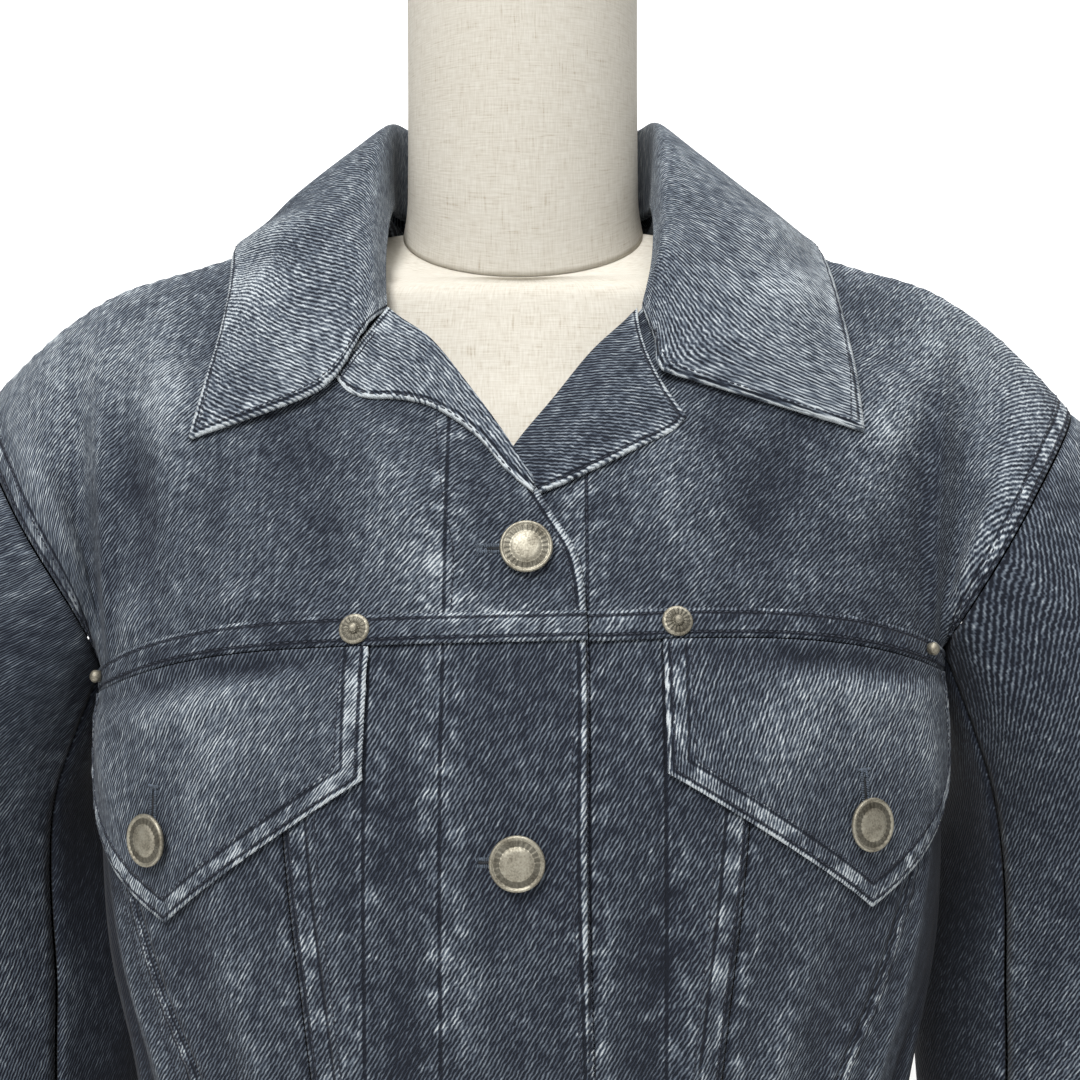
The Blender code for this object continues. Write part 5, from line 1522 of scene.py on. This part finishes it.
def tiled(name, template, places, finish):
    """One object that repeats a small template at each matrix."""
    count, size = len(places), len(template.verts)
    template.verts.index_update()
    points = np.array([(*v.co, 1) for v in template.verts])
    faces = np.array([[v.index for v in face.verts] for face in template.faces])
    template.free()
    moved = np.einsum("nij,kj->nki", np.array([np.array(m) for m in places]), points)[..., :3]
    mesh = bpy.data.meshes.new(name)
    all_faces = (faces[None] + (np.arange(count) * size)[:, None, None]).reshape(-1, faces.shape[1])
    mesh.from_pydata(moved.reshape(-1, 3), [], all_faces)
    mesh.shade_smooth()
    mesh.materials.append(finish)
    return settle(in_scene(name, mesh))


def stitch_template(half):
    """One stitch with its half-sizes along, across and up."""
    bm = bmesh.new()
    bmesh.ops.create_icosphere(bm, subdivisions=1, radius=1.0)
    bmesh.ops.scale(bm, vec=half, verts=bm.verts)
    return bm


def on_piece(name, across, up):
    """Points and outward normals at places on a piece."""
    grid = PANELS[name].grid
    across, up = np.atleast_1d(np.asarray(across, float)), np.atleast_1d(np.asarray(up, float))
    rightward = sample(grid, across + SHARE_STEP, up) - sample(grid, across - SHARE_STEP, up)
    upward = sample(grid, across, up + SHARE_STEP) - sample(grid, across, up - SHARE_STEP)
    out = np.cross(rightward, upward) * (-1 if PANELS[name].flip else 1)
    return sample(grid, across, up), unit(out)


def frame_at(place, along, out):
    """A matrix with X along and Z out at a place."""
    x = Vector(along).normalized()
    z = Vector(out)
    z = (z - x * z.dot(x)).normalized()
    matrix = Matrix((x, z.cross(x), z)).transposed().to_4x4()
    matrix.translation = Vector(place)
    return matrix


def row_of_stitches(name, corners):
    """Places of the stitches of a row that runs through corners, pairs of across and up on a piece."""
    corners = np.array(corners, float)
    legs = np.linalg.norm(np.diff(corners, axis=0), axis=1)
    at = np.concatenate([[0], np.cumsum(legs)])
    samples = np.linspace(0, at[-1], ROW_SAMPLES)
    across, up = np.interp(samples, at, corners[:, 0]), np.interp(samples, at, corners[:, 1])
    placed = PANELS[name].point(across, up)
    metres = np.concatenate([[0], np.cumsum(np.linalg.norm(np.diff(placed, axis=0), axis=1))])
    centres = np.arange(STITCH_PITCH / 2, metres[-1], STITCH_PITCH)
    across, up = np.interp(centres, metres, across), np.interp(centres, metres, up)
    here, out = on_piece(name, across, up)
    along = np.gradient(here, axis=0)
    return [frame_at(p + STITCH_LIFT * o, a, o) for p, a, o in zip(here, along, out)]


def width_of(name):
    """Metres across the middle of a piece."""
    line = np.linspace(0, 1, CORNER_SAMPLES)
    path = PANELS[name].point(line, 0 * line + 0.5)
    return float(np.linalg.norm(np.diff(path, axis=0), axis=1).sum())


def beside(name, side, distance, start=0.0, end=1.0):
    """A row at a distance inside one side of a piece: left, right, bottom or top."""
    line = np.linspace(start, end, BESIDE_ROWS)
    through, there = np.meshgrid(np.linspace(0, 1, BESIDE_POINTS), line)
    places = (through, there) if side in "lr" else (there, through)
    crossing = PANELS[name].point(places[0].ravel(), places[1].ravel()).reshape(BESIDE_ROWS, BESIDE_POINTS, 3)
    share = distance / np.linalg.norm(np.diff(crossing, axis=1), axis=-1).sum(axis=1)
    share = 1 - share if side in "rt" else share
    corners = (share, line) if side in "lr" else (line, share)
    return row_of_stitches(name, np.stack(corners, axis=1))


def all_beside(name, sides, distances, start=0.0, end=1.0):
    """Rows at each distance inside each of the sides that sides names."""
    return [at for side in sides for distance in distances for at in beside(name, side, distance, start, end)]


def flap_rows(name):
    """The rows down a flap's sides and round its point."""
    rows = []
    for distance in FLAP_ROWS:
        inner = distance / width_of(name)
        line = np.linspace(inner, 1 - inner, CORNER_SAMPLES)
        low = distance * FLAP_SLANT / flap_foot(line)
        rows += row_of_stitches(name, [(inner, FLAP_ROW_TOP), *zip(line, low), (1 - inner, FLAP_ROW_TOP)])
    return rows


def collar_row():
    """The row down the collar's ends and along its edge."""
    line = np.linspace(COLLAR_END, 1 - COLLAR_END, COLLAR_SAMPLES)
    top = zip(line, 0 * line + COLLAR_TOP)
    return row_of_stitches("collar", [(COLLAR_END, COLLAR_FOOT), *top, (1 - COLLAR_END, COLLAR_FOOT)])


def placket_row(piece, x, start, end):
    """A row down a front at a distance from the front centre. It stays where the piece is that wide."""
    point = PANELS[piece].point
    line = np.linspace(start, end, CORNER_SAMPLES)
    low, high = np.zeros_like(line), np.ones_like(line)
    for _ in range(PLACKET_HALVINGS):
        middle = (low + high) / 2
        short = np.abs(point(middle, line)[:, 0]) < x
        beyond_edge = np.sign(point(middle, line)[:, 0]) != np.sign(point(high, line)[:, 0])
        low = np.where(short | beyond_edge, middle, low)
        high = np.where(short | beyond_edge, high, middle)
    return row_of_stitches(piece, np.stack([(low + high) / 2, line], axis=1))


def stitch_fronts():
    """The rows on the fronts, with their yokes, strips, flaps and lapels, and on the side panels."""
    rows = []
    for side_name, _ in SIDES:
        yoke, centre = f"front_yoke_{side_name}", f"centre_front_{side_name}"
        rows += flap_rows(f"pocket_flap_{side_name}")
        rows += all_beside(f"yoke_strip_{side_name}", "bt", [STRIP_ROW])
        rows += row_of_stitches(f"lapel_{side_name}", LAPEL_ROW)
        rows += beside(centre, "l", FRONT_ROW) + beside(yoke, "l", FRONT_ROW, 0.0, 0.24)
        rows += all_beside(yoke, "r", PAIR, 0.02, 0.98)
        rows += placket_row(yoke, PLACKET_ROWS[0], 0.02, 0.50)
        rows += placket_row(centre, PLACKET_ROWS[0], 0.0, 1.0)
        rows += placket_row(centre, PLACKET_ROWS[1], 0.0, 0.93)
        rows += all_beside(centre, "r", FRONT_PAIR) + all_beside(f"side_panel_{side_name}", "l", SIDE_PAIR)
    tiled("stitching_fronts", stitch_template(STITCH_HALF), rows, THREAD)


def stitch_back_and_hem():
    """The rows on the collar, the back and the hem band."""
    rows = collar_row() + all_beside("back_centre", "lr", PAIR) + all_beside("back_yoke", "b", PAIR)
    for start, end in ((0.03, 0.38), (0.62, 0.97)):
        rows += beside("back_yoke", "t", EDGE_ROW, start, end)
    for side_name, _ in SIDES:
        rows += all_beside(f"back_side_{side_name}", "l", PAIR)
    rows += all_beside("hem_band", "bt", [TRIM_ROW])
    tiled("stitching_back_and_hem", stitch_template(STITCH_HALF), rows, THREAD)


def stitch_sleeves():
    """The rows on the sleeves and the cuffs."""
    rows = []
    for side_name, _ in SIDES:
        rows += all_beside(f"upper_sleeve_{side_name}", "l", PAIR)
        rows += all_beside(f"cuff_{side_name}", "bt", [TRIM_ROW])
    tiled("stitching_sleeves", stitch_template(STITCH_HALF), rows, THREAD)


# Buttonholes, worked with stitches round a slit and closed with a bar at one end
HOLE_THREAD = thread("buttonhole_thread", (0.045, 0.056, 0.072))
SLIT = thread("slit_shadow", (0.004, 0.005, 0.007))
HOLE_HALF = 0.0105  # half its length
HOLE_PAST_BUTTON = 0.0055  # how far a front one's middle lies from its button
HOLE_ABOVE_BUTTON = 0.0085  # the same on a flap, where it stands upright
HOLE_LIFT = 0.0002
WORKED_PITCH, WORKED_REACH, WORKED_LIFT = 0.00068, 0.00125, 0.0003
WORKED_HALF = (0.00095, 0.00036, 0.00036)
BAR_PAST_END, BAR_HALF, BAR_LIFT = 0.0014, 0.0027, 0.0004
BAR_STITCHES, BAR_SCALE = 10, 0.9
SLIT_HALF = (0.0098, 0.00105, 0.00042)
SLIT_LENGTH = 0.01  # the buttonhole's half-length for which the slit has that size
SLIT_LIFT = 0.00015


def buttonhole(place, along, out):
    """Places of a buttonhole's worked edge with its bar, and of its slit."""
    matrix = frame_at(place, along, out)
    edge = []
    for x in np.arange(-HOLE_HALF, HOLE_HALF, WORKED_PITCH):
        for way in (-1, 1):
            turned_stitch = Matrix.Rotation(math.pi / 2, 4, "Z")
            edge.append(matrix @ Matrix.Translation((x, way * WORKED_REACH, WORKED_LIFT)) @ turned_stitch)
    for angle in np.linspace(math.pi / 2, 1.5 * math.pi, 8)[1:-1]:
        x, y = -HOLE_HALF + WORKED_REACH * math.cos(angle), WORKED_REACH * math.sin(angle)
        edge.append(matrix @ Matrix.Translation((x, y, WORKED_LIFT)) @ Matrix.Rotation(angle, 4, "Z"))
    bar = [
        matrix @ Matrix.Translation((-HOLE_HALF - BAR_PAST_END, y, BAR_LIFT)) @ Matrix.Scale(BAR_SCALE, 4)
        for y in np.linspace(-BAR_HALF, BAR_HALF, BAR_STITCHES)
    ]
    lengthened = Matrix.Scale(HOLE_HALF / SLIT_LENGTH, 4, (1, 0, 0))
    return edge + bar, [matrix @ Matrix.Translation((0, 0, SLIT_LIFT)) @ lengthened]


def flap_face(around, climb):
    """The outer face of the flaps at their fullest."""
    return on_cloth(around, climb, LAY_GAP + DOUBLED + FLAP_PUFF)


def front_button_place(x, height):
    """The surface that a front button sits on and its place there."""
    if height > YOKE_FRONT:
        place = place_of(x, height)
    else:
        around = around_of(x, height)
        place = around, climb_of(around, height)
    lift = CLOSURE_LIFT * (BAND_STEP - 1) if height < BAND_TOP else 0.0
    return lambda around, climb: on_front(RIGHT, around, climb, lift), place


def laid_on(name, matrix):
    """The matrix moved along its own Z until it lies on a piece of cloth."""
    points = PANELS[name].grid.reshape(-1, 3)
    out = np.array(matrix.col[2].to_3d())
    offset = points - np.array(matrix.translation)
    nearest = offset[np.argmin(np.sum(offset**2, axis=1) - np.sum(offset * out, axis=1) ** 2)]
    return Matrix.Translation(Vector(out * float(nearest @ out))) @ matrix


def buttonholes():
    """The buttonholes of the right front, the hem band and the flaps."""
    worked, slits = [], []

    def add(base, along, out):
        edge, slit = buttonhole(base.translation, along, out)
        worked.extend(edge)
        slits.extend(slit)

    for x, height in FRONT_BUTTONS:
        surface, (around, climb) = front_button_place(x, height)
        around = float(np.squeeze(around)) - HOLE_PAST_BUTTON / GIRTH_SHARE
        base = seated(surface, around, float(np.squeeze(climb)), HOLE_LIFT)
        out = base.col[2].to_3d()
        sideways = Vector((1, 0, 0)) - out * base.col[2].x
        piece = "front_yoke_right" if height > YOKE_FRONT else "centre_front_right"
        base = laid_on("hem_band" if height < BAND_TOP else piece, base)
        add(base, sideways, out)
    for side_name, side in SIDES:
        x, height = FLAP_BUTTON[side]
        height += HOLE_ABOVE_BUTTON
        around = around_of(side * x, height)
        base = seated(flap_face, around, climb_of(around, height), HOLE_LIFT)
        base = laid_on(f"pocket_flap_{side_name}", base)
        out = base.col[2].to_3d()
        add(base, Vector((0, 0, -1)) + out * out.z, out)
    tiled("buttonhole_edges", stitch_template(WORKED_HALF), worked, HOLE_THREAD)
    tiled("buttonhole_slits", stitch_template(SLIT_HALF), slits, SLIT)


# Metal

# Each profile is (radius, height, ribbed) from the top of the axis out and down.
BUTTON_PROFILE = (
    (0.0, 0.00432, 0), (0.0022, 0.00429, 0), (0.0044, 0.00420, 0), (0.0056, 0.00404, 0),
    (0.0060, 0.00370, 0), (0.0064, 0.00362, 1), (0.0072, 0.00355, 1), (0.0080, 0.00345, 1),
    (0.0086, 0.00340, 1), (0.0089, 0.00345, 0), (0.0092, 0.00390, 0), (0.0097, 0.00398, 0),
    (0.0101, 0.00370, 0), (0.0103, 0.00310, 0), (0.0101, 0.00240, 0), (0.0096, 0.00190, 0),
    (0.0045, 0.00160, 0), (0.0045, 0.0, 0), (0.0, 0.0, 0),
)  # fmt: skip
RIVET_PROFILE = (
    (0.0, 0.00400, 0), (0.0009, 0.00385, 0), (0.0016, 0.00335, 0), (0.0019, 0.00265, 0),
    (0.0017, 0.00190, 0), (0.0019, 0.00150, 1), (0.0023, 0.00150, 1), (0.0026, 0.00165, 1),
    (0.0034, 0.00165, 1), (0.0042, 0.00150, 1), (0.0048, 0.00130, 1), (0.0053, 0.00125, 0),
    (0.0058, 0.00095, 0), (0.0060, 0.0004, 0), (0.0060, 0.0, 0), (0.0, 0.0, 0),
)  # fmt: skip
STUD_PROFILE = (
    (0.0, 0.0042, 0), (0.0010, 0.0041, 0), (0.0019, 0.0036, 0), (0.0025, 0.0029, 0), (0.0027, 0.0022, 0),
    (0.0025, 0.0012, 0), (0.0022, 0.0, 0), (0.0, 0.0, 0),
)  # fmt: skip
RIB_HEIGHT = 0.00032
RIB_DIP = -0.2  # how far a rib's groove dips, as a share of the rib's height
RIBS_ABOVE = RIB_HEIGHT * 3  # the ribbed stretch lies above this, and the piece's foot below it
BUTTON_RIBS, RIVET_RIBS = 24, 16
BUTTON_STEPS, CUFF_BUTTON_STEPS, SMALL_STEPS = 96, 48, 64  # round the axis
CUFF_STEP = 0.01  # round a cuff, between the places that give its button's direction


def turned_metal(name, profile, steps, ribs, matrix, finishes):
    """A turned piece whose ribbed stretch has radial ribs and the second finish."""
    bm = bmesh.new()
    verts = [bm.verts.new((radius, 0, height)) for radius, height, _ in profile]
    for start, end in zip(verts, verts[1:]):
        bm.edges.new((start, end))
    ribbed = {round(radius, 6) for radius, _, rib in profile if rib}
    geometry = bm.verts[:] + bm.edges[:]
    bmesh.ops.spin(
        bm, geom=geometry, cent=(0, 0, 0), axis=(0, 0, 1), angle=2 * math.pi, steps=steps, use_merge=True
    )
    bmesh.ops.remove_doubles(bm, verts=bm.verts, dist=WELD / 10)
    for vert in bm.verts:
        radius = math.hypot(vert.co.x, vert.co.y)
        if round(radius, 6) in ribbed and vert.co.z > RIBS_ABOVE:
            wave = math.cos(ribs * math.atan2(vert.co.y, vert.co.x))
            vert.co.z += RIB_HEIGHT * max(RIB_DIP, wave)
    bmesh.ops.recalc_face_normals(bm, faces=bm.faces)
    for face in bm.faces:
        middle = face.calc_center_median()
        in_ring = ribbed and min(ribbed) < math.hypot(middle.x, middle.y) < max(ribbed)
        face.material_index = int(bool(in_ring and middle.z > RIBS_ABOVE))
    bmesh.ops.transform(bm, matrix=matrix, verts=bm.verts)
    obj = new_object(f"{name}_metal", bm, finishes[0])
    obj.data.materials.append(finishes[1])
    return settle(obj, name, slot="antique_nickel")


def metal():
    """The buttons, the rivets and the studs."""
    finishes = nickel("antique_nickel", 1.0), nickel("antique_nickel_ring", 0.45)

    def button(name, matrix, steps=BUTTON_STEPS):
        turned_metal(name, BUTTON_PROFILE, steps, BUTTON_RIBS, matrix, finishes)

    for number, (x, height) in enumerate(FRONT_BUTTONS, start=1):
        surface, place = front_button_place(x, height)
        button(f"front_button_{number}", seated(surface, *map(np.squeeze, place)))
    for side_name, side in SIDES:
        x, height = FLAP_BUTTON[side]
        around = around_of(side * x, height)
        button(f"flap_button_{side_name}", seated(flap_face, around, climb_of(around, height), 2 * SEAT))
        for name, profile, ribs, at, seat in (
            ("rivet", RIVET_PROFILE, RIVET_RIBS, RIVET_AROUND, SEAT),
            ("stud", STUD_PROFILE, 0, STUD_AROUND[side], 3 * SEAT),
        ):
            matrix = seated(lambda a, c: on_front(side, a, c, LAY_GAP + WALL), side * at, 1.0, seat)
            turned_metal(f"{name}_{side_name}", profile, SMALL_STEPS, ribs, matrix, finishes)
        middle = cuff_ring(side, np.array([CUFF_BUTTON_ABOUT]))[0]
        middle[2] = SLEEVE[-1].centre_z - CUFF_HEIGHT / 2
        ahead, behind = cuff_ring(side, CUFF_BUTTON_ABOUT + np.array([CUFF_STEP, -CUFF_STEP]))
        along = ahead - behind
        normal = unit(np.array([along[1], -along[0], 0]) * -side)
        button(f"cuff_button_{side_name}", facing(middle + SEAT * normal, normal), CUFF_BUTTON_STEPS)


# Dress form

GIRTH_OF_RING = 0.8  # a ring's girth as a share of the circle's through its sides


def form_piece(name, rings, columns, rows, finish):
    """A closed piece of the form, through its rings."""
    low, high = rings[0].height, rings[-1].height
    bm = bmesh.new()
    bmesh.ops.create_grid(bm, x_segments=columns, y_segments=rows, size=0.5)
    layer = bm.loops.layers.uv.new("cloth")
    flat = np.array([v.co for v in bm.verts])
    across, up = flat[:, 0] + 0.5, flat[:, 1] + 0.5
    height = low + up * (high - low)
    angle = 2 * math.pi * across
    front = np.cos(angle) > 0
    depth = np.where(front, read(rings, height, "front"), read(rings, height, "back"))
    tilt = np.where(front, read(rings, height, "dip"), read(rings, height, "rise"))
    x = read(rings, height, "half_width") * np.sin(angle)
    y = read(rings, height, "middle_y") - depth * np.cos(angle)
    placed = np.stack([x, y, height - tilt * np.cos(angle)], axis=-1)
    girth = float(2 * math.pi * np.mean([ring.half_width for ring in rings]) * GIRTH_OF_RING)
    bm.verts.index_update()
    for face in bm.faces:
        for loop in face.loops:
            k = loop.vert.index
            loop[layer].uv = (across[k] * girth, height[k] - low)
    for vert, place in zip(bm.verts, placed):
        vert.co = place
    bmesh.ops.remove_doubles(bm, verts=bm.verts, dist=WELD)
    ends = bmesh.ops.holes_fill(bm, edges=[edge for edge in bm.edges if edge.is_boundary], sides=0)
    bmesh.ops.poke(bm, faces=ends["faces"])
    bmesh.ops.recalc_face_normals(bm, faces=bm.faces)
    obj = new_object(f"{name}_linen", bm, finish)
    return settle(obj, name, slot="linen")


def dress_form():
    """The form. Its cap, its pole and its base keep the shape of their solids."""
    form_piece("form_torso", TORSO, 128, 150, linen("linen", 0.90))
    # The neck's linen is a darker copy: painted shade on the neck.
    form_piece("form_neck", NECK, 96, 60, linen("neck_linen_shaded", 0.78))
    for node, finish in (("neck_cap", wood()), ("pole", steel()), ("base", steel())):
        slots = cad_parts[node].data.materials
        slots.clear()
        slots.append(finish)


# Camera, light and floor

CAMERA_PLACE = (0.0164, -0.6435, 0.7345)
CAMERA_LEFT, CAMERA_DOWN, CAMERA_ROLL = 0.745, 1.522, -0.165  # degrees
SENSOR, LENS = 36, 47.62  # millimetres
BACKDROP = 3.2  # behind the form, and the height of its middle


def camera():
    """The camera, close in front of the chest."""
    made = bpy.data.cameras.new("camera")
    made.sensor_width = SENSOR
    made.lens = LENS
    turn = (
        Matrix.Rotation(math.radians(CAMERA_LEFT), 4, "Z")
        @ Matrix.Rotation(math.radians(90 - CAMERA_DOWN), 4, "X")
        @ Matrix.Rotation(math.radians(CAMERA_ROLL), 4, "Z")
    )
    obj = in_scene("camera", made)
    obj.matrix_world = Matrix.Translation(CAMERA_PLACE) @ turn
    bpy.context.scene.camera = obj


def lamp(name, place, target, size, power):
    """A square area light of a side in metres and a power in watts, aimed at a target."""
    made = bpy.data.lights.new(name, "AREA")
    made.shape = "RECTANGLE"
    made.size = made.size_y = size
    made.energy = power
    aim = (Vector(target) - Vector(place)).to_track_quat("-Z", "Y")
    in_scene(name, made).matrix_world = Matrix.Translation(place) @ aim.to_matrix().to_4x4()


def backdrop():
    """A white card behind the form that gives off its own light."""
    n = Nodes("white_card")
    glow = (1, 1, 1, 1)
    n.surface(Base_Color=(0.9, 0.9, 0.9, 1), Emission_Color=glow, Emission_Strength=0.9)
    bm = bmesh.new()
    bmesh.ops.create_grid(bm, x_segments=1, y_segments=1, size=4)
    bmesh.ops.rotate(bm, matrix=Matrix.Rotation(math.pi / 2, 3, "X"), verts=bm.verts)
    bmesh.ops.translate(bm, vec=(0, BACKDROP, BACKDROP), verts=bm.verts)
    new_object("white_card", bm, n.material, smooth_faces=False)


def floor():
    """A plain pale floor, just under the base."""
    n = Nodes("pale_floor")
    n.surface(Base_Color=(0.86, 0.86, 0.85, 1), Roughness=0.8)
    bm = bmesh.new()
    bmesh.ops.create_circle(bm, cap_ends=True, segments=64, radius=12)
    bmesh.ops.translate(bm, vec=(0, 0, -0.001), verts=bm.verts)
    new_object("floor", bm, n.material, smooth_faces=False)


def studio():
    """An even pale light from all round, and two lamps."""
    world = bpy.data.worlds.new("studio")
    bpy.context.scene.world = world
    world.use_nodes = True
    shade = world.node_tree.nodes["Background"]
    shade.inputs["Color"].default_value = (1, 1, 1, 1)
    shade.inputs["Strength"].default_value = 0.36
    lamp("key", (-0.6, -1.9, 2.5), target=(0, 0, 0.68), size=1.0, power=72)
    lamp("top", (0.3, 0.0, 2.6), target=(0, 0, 0.7), size=1.6, power=26)
    bpy.context.scene.view_settings.view_transform = "Standard"


dress_form()
lower_panels()
yokes()
yoke_strips()
pocket_flaps()
lapels()
collar()
sleeves()
hem_band()
stitch_fronts()
stitch_back_and_hem()
stitch_sleeves()
buttonholes()
metal()
camera()
studio()
backdrop()
floor()
